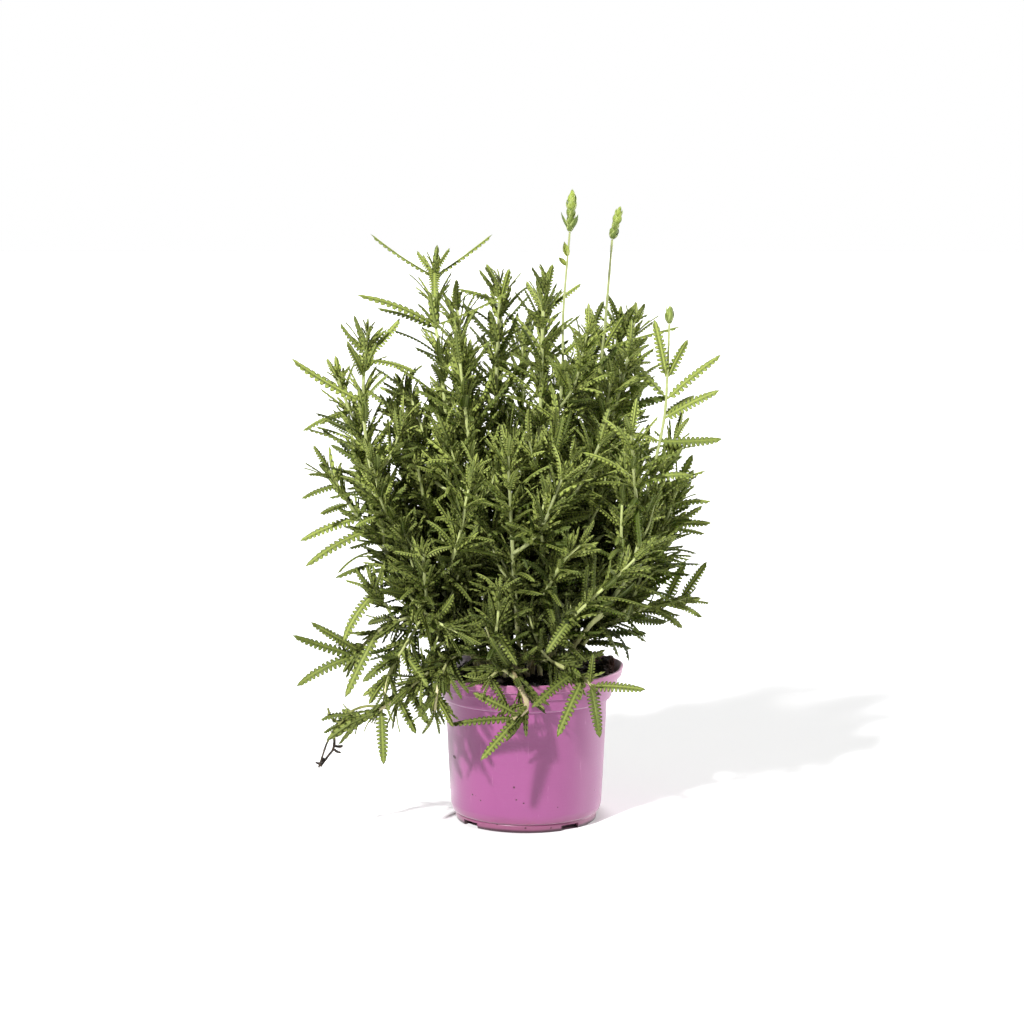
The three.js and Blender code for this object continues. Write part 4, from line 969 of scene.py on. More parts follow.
def blade_tree():
    """Every blade grows from its point: it is laid along its arch, widened and twisted as its point says."""
    sheet = Growth("blades on shoots", {"Points": "Object", "Blades": "Collection"})

    def fact(name, kind="FLOAT"):
        return sheet.put("GeometryNodeInputNamedAttribute", {"Name": name}, data_type=kind)

    blades = sheet.put("GeometryNodeCollectionInfo", {
        "Collection": sheet.given["Blades"], "Separate Children": True, "Reset Children": True,
    })
    placed = sheet.put("GeometryNodeInstanceOnPoints", {
        "Points": sheet.shape_of("Points"), "Instance": blades, "Pick Instance": True,
        "Instance Index": fact("kind", "INT"),
    })
    real = sheet.put("GeometryNodeRealizeInstances", {0: placed})
    u, v, w = sheet.split(fact("blade", "FLOAT_VECTOR"))
    ahead, normal = fact("ahead", "FLOAT_VECTOR"), fact("normal", "FLOAT_VECTOR")
    side = sheet.put("ShaderNodeVectorMath", {0: normal, 1: ahead}, operation="CROSS_PRODUCT")
    length, bend, twist = fact("length"), fact("bend"), fact("twist") * u
    wide, thick = v * fact("half"), w * fact("thick")
    cosine, sine = sheet.of("COSINE", twist), sheet.of("SINE", twist)
    height = wide * sine + thick * cosine
    bent_sine, bent_cosine = sheet.of("SINE", bend * u), sheet.of("COSINE", bend * u)
    forward = length * bent_sine / bend + height * bent_sine
    rise = height * bent_cosine - length * (1.0 - bent_cosine) / bend
    swept = wide * cosine - thick * sine + fact("sway") * u * u * length
    place = fact("root", "FLOAT_VECTOR") + ahead * forward + normal * rise + side * swept
    return sheet.finish(sheet.put("GeometryNodeSetPosition", {"Geometry": real, "Position": place}))


# ---- Blades: the flat shapes that the trees place ----

FULL, SHORT, YOUNG, BRACT, CALYX = range(5)
SIDES = 8


def tube_faces(start, rings):
    """The side faces of a tube, whose rings of points follow each other from a first point on."""
    return [
        (low + i, low + j, low + SIDES + j, low + SIDES + i)
        for low in range(start, start + SIDES * (rings - 1), SIDES)
        for i, j in zip(range(SIDES), [*range(1, SIDES), 0])
    ]


def blade_share(u):
    """The blade's outline as a share of its widest, at u along it."""
    return min(1, 0.5 + 3 * u) * (1 - u**3) ** 0.6


def toothed_blade(name, teeth, depth, droop, material):
    """A leaf of length 1 and half width 1, with a midrib above and below. Each of its cells is a blunt
    tooth that hangs a little, between narrow notches."""
    points, faces, phases = [], [], []

    def add(u, v, w, phase):
        points.append((u, v, w))
        phases.append(phase)
        return len(points) - 1

    def cell(k):
        return 0.05 + 0.88 * k / teeth

    rows = []
    for k in range(teeth + 1):
        inner = blade_share(cell(k)) * (1 - depth * (1 - 0.85 * (k / teeth) ** 3.5))
        sunk = -0.45 * droop
        row = [(0, 0.25), (0, -1), (inner, sunk), (-inner, sunk)]
        rows.append([add(cell(k), v, w, k) for v, w in row])
    for (top, under, left, right), (next_top, next_under, next_left, next_right) in zip(rows, rows[1:]):
        k = phases[top]
        for sign, start, end in ((1, left, next_left), (-1, right, next_right)):
            low, high = cell(k + 0.4), cell(k + 0.84)
            first = add(low, sign * blade_share(low) * 0.97, -droop, k + 0.35)
            second = add(high, sign * blade_share(high), -droop, k + 0.7)
            above = (top, next_top, end, second, first, start)
            below = (under, start, first, second, end, next_under)
            faces += [above, below] if sign > 0 else [above[::-1], below[::-1]]
    base = [add(0, v, w, 0) for v, w in ((0, 1), (0, -1), (0.25, 0), (-0.25, 0))]
    for i, j in ((0, 2), (2, 1), (1, 3), (3, 0)):
        faces.append((base[j], base[i], rows[0][i], rows[0][j]))
    faces.append((base[0], base[2], base[1], base[3]))
    tip = add(1, 0, -0.3 * droop, teeth + 0.5)
    for i, j in ((0, 2), (2, 1), (1, 3), (3, 0)):
        faces.append((rows[-1][j], rows[-1][i], tip))
    return blade_object(name, points, faces, phases, material)


def bract_blade(name, material):
    """A broad pointed bract whose sides clasp the spike."""
    rows, cup = 6, 2.6
    ring = [(v, 0.5) for v in (-1, -0.5, 0, 0.5, 1)] + [(v, -0.5) for v in (0.5, 0, -0.5)]
    points = []
    for k in range(rows):
        half = math.sin(math.pi * (0.18 + 0.9 * k / rows)) ** 0.8
        points += [(k / rows, v * half, w + cup * (v * half) ** 2) for v, w in ring]
    tip = len(points)
    points.append((1, 0, 0))
    faces = [(a, d, c, b) for a, b, c, d in tube_faces(0, rows)]
    faces += [(tip - SIDES + i, tip, tip - SIDES + (i + 1) % SIDES) for i in range(SIDES)]
    faces.append(tuple(range(SIDES)))
    return blade_object(name, points, faces, [0.5] * len(points), material)


def calyx_blade(name, material):
    """A closed ribbed bud: a small tube that narrows to its mouth."""
    profile = [(0, 0.45), (0.2, 0.85), (0.5, 1), (0.8, 0.86), (0.95, 0.6)]
    points = [
        (u, size * math.cos(TURN * i / SIDES), size * math.sin(TURN * i / SIDES))
        for u, size in profile
        for i in range(SIDES)
    ]
    tip = len(points)
    points.append((1, 0, 0))
    faces = tube_faces(0, len(profile))
    faces += [(tip - SIDES + i, tip - SIDES + (i + 1) % SIDES, tip) for i in range(SIDES)]
    faces.append(tuple(range(SIDES))[::-1])
    return blade_object(name, points, faces, [0.5] * len(points), material)


def blade_object(name, points, faces, phases, material):
    """A blade with its own coordinates as an attribute, which its tree and its material read."""
    mesh = bpy.data.meshes.new(name)
    mesh.from_pydata(points, [], faces)
    mesh.materials.append(material)
    whole = bmesh.new()
    whole.from_mesh(mesh)
    bmesh.ops.recalc_face_normals(whole, faces=whole.faces)
    whole.to_mesh(mesh)
    whole.free()
    mesh.shade_smooth()
    mesh.set_sharp_from_angle(angle=math.radians(55))
    store(mesh, "blade", "FLOAT_VECTOR", points)
    store(mesh, "phase", "FLOAT", phases)
    return bpy.data.objects.new(name, mesh)


def blade_collection(leaf, bract):
    """The blades in the order of FULL, SHORT, YOUNG, BRACT and CALYX, which their names keep."""
    blades = bpy.data.collections.new("blades")
    for kind, facts in {FULL: (12, 0.66, 1.8), SHORT: (9, 0.62, 1.6), YOUNG: (5, 0.3, 1.0)}.items():
        blades.objects.link(toothed_blade(f"blade_{kind}", *facts, leaf))
    blades.objects.link(bract_blade(f"blade_{BRACT}", bract))
    blades.objects.link(calyx_blade(f"blade_{CALYX}", bract))
    return blades


@dataclass
class Leaf:
    """A blade to be placed. Lengths are in millimetres."""

    root: Vector
    ahead: Vector
    normal: Vector
    length: float
    width: float
    bend: float
    kind: int = FULL
    thick: float = 0.66
    twist: float = 0.0
    sway: float = 0.0
    tint: float = 0.5
    age: float = 1.0

    def at(self, u):
        """A point of the blade's middle line."""
        angle = self.bend * u
        forward = self.length * math.sin(angle) / self.bend
        drop = self.length * (1 - math.cos(angle)) / self.bend
        side = self.normal.cross(self.ahead)
        return self.root + self.ahead * forward - self.normal * drop + side * self.sway * u * u * self.length


def leaf_points(leaves):
    """The leaves as a mesh of loose points, with what the tree needs of each as attributes."""
    mesh = bpy.data.meshes.new("leaf points")
    mesh.from_pydata([leaf.root * MM for leaf in leaves], [], [])

    store(mesh, "root", "FLOAT_VECTOR", [[number * MM for number in leaf.root] for leaf in leaves])
    for name in ("ahead", "normal"):
        store(mesh, name, "FLOAT_VECTOR", [getattr(leaf, name) for leaf in leaves])
    store(mesh, "kind", "INT", [leaf.kind for leaf in leaves])
    store(mesh, "length", "FLOAT", [leaf.length * MM for leaf in leaves])
    store(mesh, "half", "FLOAT", [leaf.width / 2 * MM for leaf in leaves])
    store(mesh, "thick", "FLOAT", [leaf.thick * sizes().leaf_thickness for leaf in leaves])
    for name in ("bend", "twist", "sway", "tint", "age"):
        store(mesh, name, "FLOAT", [getattr(leaf, name) for leaf in leaves])
    return put_in_scene("leaf points", mesh)


# ---- The lines that shoots grow along ----


def smooth_line(before, points, steps=12):
    """A smooth line through points, as a uniform Catmull-Rom spline; before sets the way it sets off."""
    ends = [before, *points, points[-1] * 2 - points[-2]]
    line = [points[0].copy()]
    for a, b, c, d in zip(ends, ends[1:], ends[2:], ends[3:]):
        for i in range(1, steps + 1):
            t = i / steps
            line.append(
                a * (-0.5 * t + t * t - 0.5 * t**3)
                + b * (1 - 2.5 * t * t + 1.5 * t**3)
                + c * (0.5 * t + 2 * t * t - 1.5 * t**3)
                + d * (-0.5 * t * t + 0.5 * t**3)
            )
    return line


@dataclass
class Place:
    """A place on a shoot: its point, its two directions and its length from the foot."""

    point: Vector
    along: Vector
    across: Vector
    run: float

    @property
    def up(self):
        return self.along.cross(self.across)


def framed(line, side):
    """The line's places, with a side direction that is carried without twisting."""
    run, across, places = 0.0, side, []
    for i, point in enumerate(line):
        behind = line[max(i - 1, 0)]
        along = (line[min(i + 1, len(line) - 1)] - behind).normalized()
        across = square_to(along, across)
        run += (point - behind).length
        places.append(Place(point, along, across, run))
    return places


@dataclass
class Shoot:
    """A stem or side shoot: its line and its half diagonal at foot and tip."""

    index: int
    places: list
    radii: tuple
    tint: float

    @property
    def length(self):
        return self.places[-1].run

    def back(self, length):
        """The place that lies some length back from the tip."""
        run = max(0.0, self.length - length)
        i = next((k for k, place in enumerate(self.places) if place.run >= run - 1e-6), 1)
        first, second = self.places[max(i, 1) - 1], self.places[max(i, 1)]
        share = (run - first.run) / (second.run - first.run)
        along = (second.point - first.point).normalized()
        across = square_to(along, first.across.lerp(second.across, share))
        return Place(first.point.lerp(second.point, share), along, across, run)

    def radius(self, run):
        return between(*self.radii, run / self.length)

    def face(self, place, number):
        """The outward direction of one of the stem's four faces."""
        angle = math.pi / 2 * (number + 1)
        return place.across * math.cos(angle) + place.up * math.sin(angle)


def main_shoot(index, root, turn, way, tip_radius):
    """A stem that stands upright in its hole before it leans out."""
    ground = soil_top(*root)
    foot, collar = Vector((*root, ground - HOLE_DEPTH)), Vector((*root, ground + 2))
    points = [Vector(point) for point in way]
    before = collar - UP * 0.6 * (points[0] - collar).length
    side = Vector((math.cos(math.radians(turn)), math.sin(math.radians(turn)), 0))
    line = [foot, *smooth_line(before, [collar, *points])]
    return Shoot(index, framed(line, side), (STEM_FOOT, tip_radius), draw(index, 0, 20))


def side_line(place, swing, length, spread=1.0):
    """The line of a shoot that slants outwards and turns up."""
    outward = square_to(UP, Vector((place.point.x, place.point.y, 0)))
    outward = turned(outward, UP, math.radians(swing))

    def step(out, up):
        return place.point + outward * out * length * spread + UP * up * length

    return smooth_line(step(-0.34, -0.1), [place.point, step(0.34, 0.26), step(0.6, 0.76)], 8)


def stem_skin(shoots):
    """Points, faces and attributes of the square stems of a plant, swollen a little at their joints."""
    points, faces, facts = [], [], []
    for shoot in shoots:
        first = len(points)
        for number, place in enumerate(shoot.places):
            radius = shoot.radius(place.run) * (1.16 if number % 4 == 0 else 1)
            for corner in range(4):
                for edge in (-0.2, 0.2):
                    angle = TURN * (corner + 0.5) / 4 + edge
                    offset = place.across * math.cos(angle) + place.up * math.sin(angle)
                    points.append(place.point + offset * radius)
                    facts.append((place.run, (corner + 0.5) / 4 + edge / TURN, 0, shoot.tint))
        faces += tube_faces(first, len(shoot.places))
        faces.append(tuple(range(first, first + SIDES))[::-1])
        faces.append(tuple(range(len(points) - SIDES, len(points))))
    return points, faces, facts


# ---- Leaves ----


def growing_leaf(shoot, place, face, turn, pitch, roll, **facts):
    """A leaf that leans out from a face, at a pitch from the stem, turned sideways and rolled."""
    outward = turned(shoot.face(place, face), place.along, math.radians(turn))
    lean = math.radians(pitch)
    ahead = place.along * math.cos(lean) + outward * math.sin(lean)
    normal = place.along * math.sin(lean) - outward * math.cos(lean)
    sunk = shoot.radius(place.run) * 0.5
    root = place.point + shoot.face(place, face) * sunk
    return Leaf(root, ahead, turned(normal, ahead, roll), **facts)


def aimed_leaf(shoot, index, number, spot):
    """A leaf whose tip is given."""
    back, x, y, z, bend, lean = spot
    place = shoot.back(back)
    tip = Vector((x, y, z))
    face = nearest_face(place, tip - place.point)
    root = place.point + shoot.face(place, face) * shoot.radius(place.run) * 0.6
    chord = tip - root
    length = chord.length * bend / 2 / math.sin(bend / 2)
    chord.normalize()
    above = square_to(chord, Vector((0, -lean, 1)))
    half = bend / 2
    ahead = chord * math.cos(half) + above * math.sin(half)
    normal = above * math.cos(half) - chord * math.sin(half)
    width = LEAF_WIDTH * min(1, max(0.5, length / 32))
    kind = FULL if length > 30 else SHORT if length > 16 else YOUNG
    tint = between(0.45, 1, draw(index, number, 21))
    return Leaf(root, ahead, normal, length, width, bend, kind, tint=tint, age=min(1, length / 30))


def nearest_face(place, direction):
    quarter = round(math.atan2(direction.dot(place.up), direction.dot(place.across)) / (math.pi / 2))
    return (quarter + 3) % 4


def regular_leaf(shoot, place, pair, side, change, loose=False):
    """One leaf of a regular pair, as the solids have it. pair may be a half between two of them. A loose
    leaf is one that the solids leave out: it stands more upright and is narrower."""
    age = min(1, pair / 4)
    number = 2 * pair + side if pair == int(pair) else 2 * pair + side + 0.5
    turn_change, pitch_change, shorter = change
    lots = [draw(shoot.index, number, purpose) for purpose in range(1, 7)]
    turn = between(-10, 10, lots[0]) + turn_change
    pitch = between(26, 66, age) * (LOOSE_PITCH if loose else 1) + between(-8, 8, lots[1]) + pitch_change
    length = LEAF_LENGTH * between(0.66, 1, age) * between(0.84, 1.08, lots[2]) * shorter
    bend = between(0.12, 1, lots[3] ** 1.5) * (-0.5 if lots[4] < 0.2 and pitch > 40 else 1)
    kind = FULL if length > 30 else SHORT
    slim = between(0.55, 0.82, draw(shoot.index, number, 25)) if loose else 1
    return growing_leaf(
        shoot, place, int(pair + 0.5 + 2 * side) % 4, turn, max(17, pitch), between(-0.3, 0.3, lots[5]),
        length=length, width=LEAF_WIDTH * between(0.72, 1, age) * slim, bend=bend, kind=kind,
        twist=between(-0.5, 0.5, draw(shoot.index, number, 22)),
        sway=between(-0.12, 0.12, draw(shoot.index, number, 23)),
        tint=draw(shoot.index, number, 24), age=between(0.3, 1, age),
    )


def young_leaf(shoot, place, number, face, size, lean):
    """A narrow young leaf of a tuft."""
    lots = [draw(shoot.index, number, purpose) for purpose in range(31, 38)]
    length = between(*size, lots[0])
    return growing_leaf(
        shoot, place, face, between(-55, 55, lots[1]), between(*lean, lots[2]), between(-0.5, 0.5, lots[3]),
        length=length, width=length * between(0.17, 0.25, lots[4]), bend=between(0.1, 0.8, lots[5]),
        kind=YOUNG, thick=0.6, twist=between(-0.4, 0.4, lots[6]),
        tint=between(0.35, 1, lots[4]), age=between(0.0, 0.6, lots[0]),
    )


def pair_place(pair):
    return PAIR_FIRST + PAIR_STEP * pair + PAIR_GROWTH * pair * pair


def is_clear(point):
    """Whether a point lies outside the pot and the soil, and inside the solids' box."""
    low, high = SOLID_BOX
    if any(not low[axis] <= point[axis] * MM <= high[axis] for axis in range(3)):
        return False
    reach = math.hypot(point.x, point.y)
    if point.z > POT_HEIGHT + OVER_RIM:
        return True
    if reach < RIM_RADIUS - INSIDE_RIM:
        return point.z > soil_top(point.x, point.y) + OVER_SOIL
    return reach > RIM_RADIUS + OUTSIDE_RIM and point.z > OVER_FLOOR


def leaf_is_clear(leaf):
    return all(is_clear(leaf.at(share)) for share in (0.3, 0.6, 0.85, 1))


class Solid:
    """The points of a plant's solid, to find which change a leaf of it has."""

    def __init__(self, node):
        vertices = frame["nodes"][node].data.vertices
        self.tree = KDTree(len(vertices))
        for i, vertex in enumerate(vertices):
            self.tree.insert(vertex.co / MM, i)
        self.tree.balance()

    def gap(self, point):
        return self.tree.find(point)[2]


def regular_leaves(shoot, solid, start, share):
    """All the leaf pairs of a shoot. Every third pair is one that the solid has too, and further from
    the tip there is another pair between each two."""
    leaves = []
    following = 0
    while pair_place(following) < share * shoot.length:
        pair = following
        following += 0.5 if pair >= DENSE_FROM else 1
        back = pair_place(pair)
        if back < start:
            continue
        place = shoot.back(back)
        is_solid = pair == int(pair) and int(pair) % PAIR_EVERY == 0
        for side in (0, 1):
            loose = not (is_solid and solid)
            if loose and solid and back > OPEN_BASE * shoot.length and place.point.y < OPEN_FRONT:
                continue
            trials = [regular_leaf(shoot, place, pair, side, change, loose) for change in CHANGES]
            best = trials[0]
            if not loose:
                best = min(trials, key=lambda leaf: solid.gap(leaf.at(1)))
                if solid.gap(best.at(1)) > 4:
                    best = trials[0]
            elif not solid:
                best.length *= LOOSE_LENGTH
            clear = [leaf for leaf in [best, *trials] if leaf_is_clear(leaf)]
            if clear:
                leaves.append(clear[0])
    return leaves


def stalk_bract(shoot, spot):
    """A broad pointed bract that stands against its stalk."""
    back, point, width = spot
    leaf = aimed_leaf(shoot, 0, 0, (back, *point, -1.2, 1))
    leaf.kind, leaf.width, leaf.thick, leaf.tint, leaf.age = BRACT, width, 0.35, 0.8, 0.8
    return leaf


def tufts(shoot, start, share):
    """Young leaves in the axils of the pairs."""
    leaves = []
    pair = 0
    while pair_place(pair) < share * shoot.length:
        place = shoot.back(pair_place(pair))
        if pair_place(pair) >= start and pair >= 1:
            for side in (0, 1):
                for number in range(sizes().tuft_leaves):
                    lot = 300 + 10 * pair + 4 * side + number
                    face = (pair + 2 * side) % 4
                    leaves.append(young_leaf(shoot, place, lot, face, (10, 27), (6, 36)))
        pair += 1
    return [leaf for leaf in leaves if leaf_is_clear(leaf)]


def tip_leaves(shoot, count, longest):
    """The bunch of upright young leaves at a shoot's tip."""
    leaves = []
    for number in range(count):
        place = shoot.back(0.4 + 0.5 * number)
        size = 0.45 * longest, longest
        leaves.append(young_leaf(shoot, place, 500 + number, number % 4, size, (4, 26)))
    return [leaf for leaf in leaves if leaf_is_clear(leaf)]


# ---- The plants ----


def plants():
    """Every stem: name, root, turn, start of its regular pairs, way points and listed leaves."""
    for name, facts in STEMS.items():
        yield (name, *facts)
    for i in range(DOME_STEMS):
        lean = math.radians(between(DOME_LOWEST, DOME_HIGHEST, (i + 0.5) / DOME_STEMS))
        heading = math.radians(DOME_START + i * DOME_TURN)
        direction = (math.cos(heading), math.sin(heading))
        reach = DOME_RADIUS * math.sin(lean) ** 0.55
        x, y = reach * direction[0], reach * direction[1] * DOME_DEPTH
        z = DOME_FLOOR + DOME_RISE * math.cos(lean) ** 0.8
        root = tuple(DOME_ROOT * math.sin(lean) * share for share in direction)
        way = [(0.68 * x, 0.68 * y, between(SOIL_CROWN, z, 0.46)), (x, y, z)]
        yield (f"stem_{i + 1:02}", root, 50 * i, 0, way, [])


def solid_side_shoots(stem, solid, stem_count):
    """The side shoots that the stem's solid has, each on the heading that it has there."""
    count = 2 if stem.length > SIDE_LONG_STEM else 1 if stem.length > SIDE_SHORTEST else 0
    shoots = []
    for k in range(count):
        share = between(SIDE_LOWEST, SIDE_HIGHEST, (0.38 * stem.index + 0.5 * k) % 1)
        place = stem.back(stem.length * (1 - share))
        swing = SIDE_SWING * (1 if (stem.index + k) % 2 else -1)
        swing += between(-20, 20, draw(stem.index, k, 7))
        reach = SIDE_LENGTH * between(0.8, 1.15, draw(stem.index, k, 8))
        lines = [side_line(place, swing + change, reach) for change in SIDE_CHANGES]
        line = min(lines, key=lambda trial: solid.gap(trial[-1]))
        if solid.gap(line[-1]) < 5:
            index = stem_count + 2 * stem.index + k
            shoots.append(Shoot(index, framed(line, place.across), (SIDE_FOOT, STEM_TIP), stem.tint))
    return shoots


def added_side_shoots(stem, bare):
    """More side shoots, which fill the bush: they grow from the axils and turn up."""
    shoots = []
    wanted = min(sizes().side_shoots, int(stem.length / ADDED_EVERY))
    for k in range(wanted):
        index = ADDED + 12 * stem.index + k
        share = (k + between(0.1, 0.9, draw(index, 0, 41))) / wanted
        back = between(max(bare, 0.3 * stem.length), 0.82 * stem.length, share)
        place = stem.back(back)
        swing = ADDED_SWING * k + between(-30, 30, draw(index, 0, 42)) + 40 * stem.index
        swing = (swing + 180) % 360 - 180
        length = between(*ADDED_LENGTH, draw(index, 0, 43)) * (1 - 0.25 * abs(swing) / 180)
        line = side_line(place, swing * 0.75, length, ADDED_SPREAD)
        if all(is_clear(point) for point in line[2:]):
            shoots.append(Shoot(index, framed(line, place.across), ADDED_RADII, stem.tint))
    return shoots


def sprays(stem, name):
    """The listed leafy sprays of a stem, each with its listed leaves."""
    for number, (back, way, spots) in enumerate(SPRAYS.get(name, ())):
        place = stem.back(back)
        points = [place.point, *(Vector(point) for point in way)]
        line = smooth_line(place.point - place.along * 12, points, 8)
        spray = Shoot(SPRAY + 3 * stem.index + number, framed(line, place.across), SPRAY_RADII, 0.95)
        yield spray, [aimed_leaf(spray, spray.index, k, spot) for k, spot in enumerate(spots)]


def make_plant(name, shoots, leaves, kit, skin, cover, node):
    """A piece of square shoots and the blades that grow on them, with what their materials read."""
    points, faces, facts = stem_skin(shoots)
    piece = piece_from(name, points, faces, skin)
    store(piece.data, "blade", "FLOAT_VECTOR", [fact[:3] for fact in facts])
    store(piece.data, "tint", "FLOAT", [fact[3] for fact in facts])
    spread = leaf_points(leaves)
    blades, tree = kit
    grow(piece, tree, {"Points": spread, "Blades": blades, "Material": cover})
    discard(spread)
    keep_for(piece, node)


def make_stem(plant, index, stem_count, kit, skin, cover):
    name, root, turn, start, way, spots = plant
    is_stalk = name in [stem for stem, *_ in FLOWERS.values()]
    bare = start if is_stalk else 0
    tip_radius = HOOK_TIP if name == "stem_front_hook" else STALK_TIP if is_stalk else STEM_TIP
    stem = main_shoot(index, root, turn, way, tip_radius)
    solid = Solid(name)
    leaves = [aimed_leaf(stem, index, number, spot) for number, spot in enumerate(spots)]
    leaves += regular_leaves(stem, solid, start, MAIN_PAIRS) + tufts(stem, bare, MAIN_TUFTS)
    if not is_stalk:
        leaves += tip_leaves(stem, *(TIP_OF_PLACED if spots else TIP_OF_MAIN))
    if name == "flower_stem_tall":
        leaves += [stalk_bract(stem, spot) for spot in STALK_BRACTS]
    sides = solid_side_shoots(stem, solid, stem_count)
    added = added_side_shoots(stem, bare)
    for side in sides:
        leaves += regular_leaves(side, solid, 0, SIDE_PAIRS)
    for side, placed in sprays(stem, name):
        added.append(side)
        leaves += placed
    for side in added:
        leaves += regular_leaves(side, None, 0, SIDE_PAIRS)
    for side in sides + added:
        leaves += tip_leaves(side, *TIP_OF_SIDE) + tufts(side, 0, SIDE_TUFTS)
    make_plant(name + "_plant", [stem, *sides, *added], leaves, kit, skin, cover, name)


def whorl(spindle, number, facts):
    """A ring of bracts round a spike, with a bud between each two in a ring of large ones."""
    level, count, long, wide, pitch, curl, tint = facts
    place = spindle.back(spindle.length - level)
    for k in range(4):
        lots = [draw(spindle.index, number * 8 + k, purpose) for purpose in range(1, 5)]
        turn = 45 * (number % 2) + between(-9, 9, lots[0])
        if count == 2:
            turn = 24 if k == 1 else -62
        if count > 2 or k % 2:
            yield growing_leaf(
                spindle, place, k, turn, pitch + between(-6, 8, lots[1]), 0, kind=BRACT,
                length=long * between(0.92, 1.08, lots[2]), width=wide, bend=curl, thick=0.35,
                tint=min(1, max(0, tint + between(-0.12, 0.12, lots[3]))),
            )
        if count > 2 and long > 6:
            yield growing_leaf(
                spindle, place, k, turn + 45, 0.6 * pitch, 0, length=long * 0.8, width=wide * 0.46,
                bend=0.6 * curl, kind=CALYX, thick=wide * 0.23, tint=tint * 0.8,
            )


def make_heads(kit, bract):
    """Each spike: a green spindle in whorls of overlapping bracts."""
    for order, (name, (stalk, length, lean)) in enumerate(FLOWERS.items()):
        along = Vector(lean).normalized()
        base = Vector(STEMS[stalk][3][-1]) + along * SEAT
        line = [base + along * length * share * 0.9 for share in (0, 0.15, 0.4, 0.7, 1)]
        places = framed(line, square_to(along, Vector((1, 0, 0))))
        spindle = Shoot(SPIKE + order, places, SPINDLE_RADII, 0.8)
        leaves = [leaf for number, facts in enumerate(WHORLS[name]) for leaf in whorl(spindle, number, facts)]
        make_plant(name + "_bracts", [spindle], leaves, kit, bract, bract, name)


def make_twigs(kit, material):
    """The dry twigs at the end of the lowest stem on the left, with shrivelled leaves."""
    twigs = []
    for number, way in enumerate(TWIGS):
        points = [Vector(point) for point in way]
        line = smooth_line(points[0] * 2 - points[1], points, 6)
        twigs.append(Shoot(TWIG + number, framed(line, UP.copy()), TWIG_RADII, 0.2))
    leaves = []
    for number, (twig, back, length) in enumerate(TWIG_LEAVES):
        place = twigs[twig].back(back)
        leaf = young_leaf(twigs[twig], place, number, number % 4, (length, length), (20, 60))
        leaf.bend, leaf.twist, leaf.width, leaf.thick = 1.6, 1.2, 0.42 * length, 1.2
        leaves.append(leaf)
    make_plant("withered_twigs", twigs, leaves, kit, material, material, None)


# ---- The stage ----

CAMERA_PLACE = (-9.3, -1945, 493)
CAMERA_PITCH = 8.47
LENS, SENSOR = 106, 36
SKY, FLOOR_GLOW, FLOOR_HALF = 0.12, 0.36, 6000

# Each sun's strength, how wide it looks in degrees, and the way it shines.
SUNS = {
    "key": (4.9, 3, (0.6, 1, -0.85)),
    "top": (0.35, 50, (-0.2, 0.2, -1)),
    "side": (3.2, 40, (-1, -0.55, -0.4)),
}


def make_camera():
    camera = bpy.data.cameras.new("camera")
    camera.lens, camera.sensor_width = LENS, SENSOR
    eye = put_in_scene("camera", camera)
    eye.location = Vector(CAMERA_PLACE) * MM
    eye.rotation_euler = (math.radians(90 - CAMERA_PITCH), 0, 0)
    bpy.context.scene.camera = eye


def make_studio():
    """A pale floor, three suns, and a sky that is white at the horizon and dim above."""
    bpy.context.scene.view_settings.view_transform = "Standard"
    corners = [(x * FLOOR_HALF, y * FLOOR_HALF, 0) for x, y in ((-1, -1), (1, -1), (1, 1), (-1, 1))]
    piece_from("floor", corners, [(0, 1, 2, 3)], floor_paint())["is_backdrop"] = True
    world = bpy.data.worlds.new("studio")
    world.use_nodes = True
    sky = Sheet(world.node_tree)
    height = sky.split(sky.put("ShaderNodeTexCoord").at("Generated"))[2]
    backdrop = world.node_tree.nodes["Background"].inputs
    sky.join(sky.fade(height, 0.03, 0.14, 1.0, SKY), backdrop["Strength"])
    backdrop["Color"].default_value = (1, 1, 1, 1)
    bpy.context.scene.world = world
    for name, (strength, width, direction) in SUNS.items():
        sun = bpy.data.lights.new(name, "SUN")
        sun.energy, sun.angle = strength, math.radians(width)
        put_in_scene(name, sun).rotation_euler = Vector(direction).to_track_quat("-Z", "Y").to_euler()


# ---- Operators, panel and the run ----


class LAVENDER_OT_stage(bpy.types.Operator):
    """Add the camera, the lights and the pale floor"""

    bl_idname = "lavender.stage"
    bl_label = "Stage"

    def execute(self, context):
        make_camera()
        make_studio()
        return {"FINISHED"}


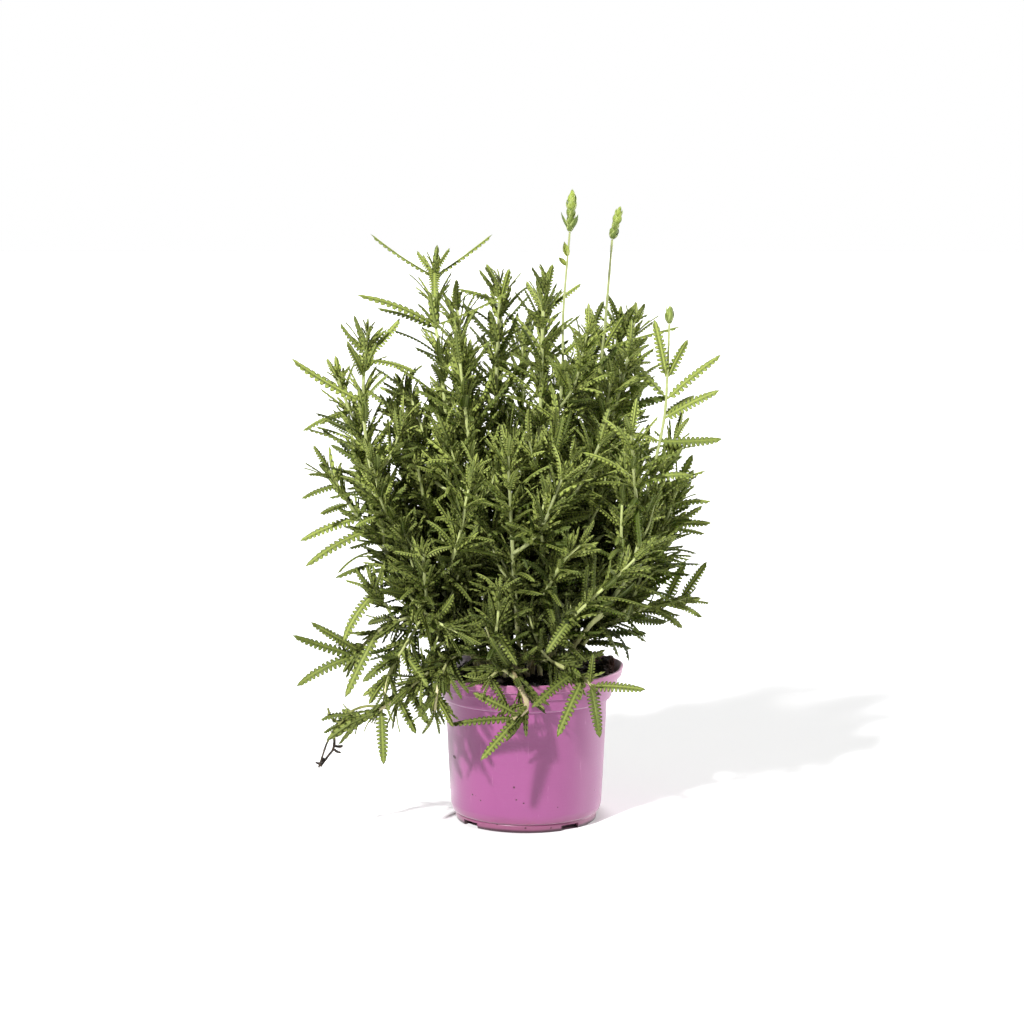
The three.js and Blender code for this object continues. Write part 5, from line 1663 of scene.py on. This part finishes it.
class LAVENDER_OT_pot(bpy.types.Operator):
    """Add the nursery pot and its soil"""

    bl_idname = "lavender.pot"
    bl_label = "Pot and soil"

    def execute(self, context):
        make_pot()
        make_soil()
        return {"FINISHED"}


class LAVENDER_OT_bush(bpy.types.Operator):
    """Add the leafy stems and the flower spikes"""

    bl_idname = "lavender.bush"
    bl_label = "Bush"

    def execute(self, context):
        leaf, stem, bract = leaf_paint(), stem_paint(), bract_paint()
        blades = blade_collection(leaf, bract)
        kit = blades, blade_tree()
        every = list(plants())
        for index, plant in enumerate(every):
            make_stem(plant, index, len(every), kit, stem, leaf)
        make_heads(kit, bract)
        make_twigs(kit, withered_paint())
        discard(*blades.objects)
        bpy.data.collections.remove(blades)
        return {"FINISHED"}


class LAVENDER_PT_panel(bpy.types.Panel):
    """Lists the lavender's steps and settings"""

    bl_idname = "LAVENDER_PT_panel"
    bl_label = "Lavender"
    bl_space_type = "VIEW_3D"
    bl_region_type = "UI"
    bl_category = "Lavender"

    def draw(self, context):
        for operator in OPERATORS:
            self.layout.operator(operator.bl_idname)
        for group in (context.scene.lavender_sizes, context.scene.lavender_colours):
            for name in group.__annotations__:
                self.layout.prop(group, name)


OPERATORS = (LAVENDER_OT_stage, LAVENDER_OT_pot, LAVENDER_OT_bush)
CLASSES = (LavenderSizes, LavenderColours, *OPERATORS, LAVENDER_PT_panel)


def register():
    for each in CLASSES:
        bpy.utils.register_class(each)
    bpy.types.Scene.lavender_sizes = bpy.props.PointerProperty(type=LavenderSizes)
    bpy.types.Scene.lavender_colours = bpy.props.PointerProperty(type=LavenderColours)


def unregister():
    del bpy.types.Scene.lavender_colours
    del bpy.types.Scene.lavender_sizes
    for each in reversed(CLASSES):
        bpy.utils.unregister_class(each)


def main():
    register()
    bpy.ops.lavender.stage()
    bpy.ops.lavender.pot()
    bpy.ops.lavender.bush()
    boxes = {"solids": SOLID_BOX, "looks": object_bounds()}
    {name: [list(corner) for corner in box] for name, box in boxes.items()}


if __name__ == "__main__":
    main()
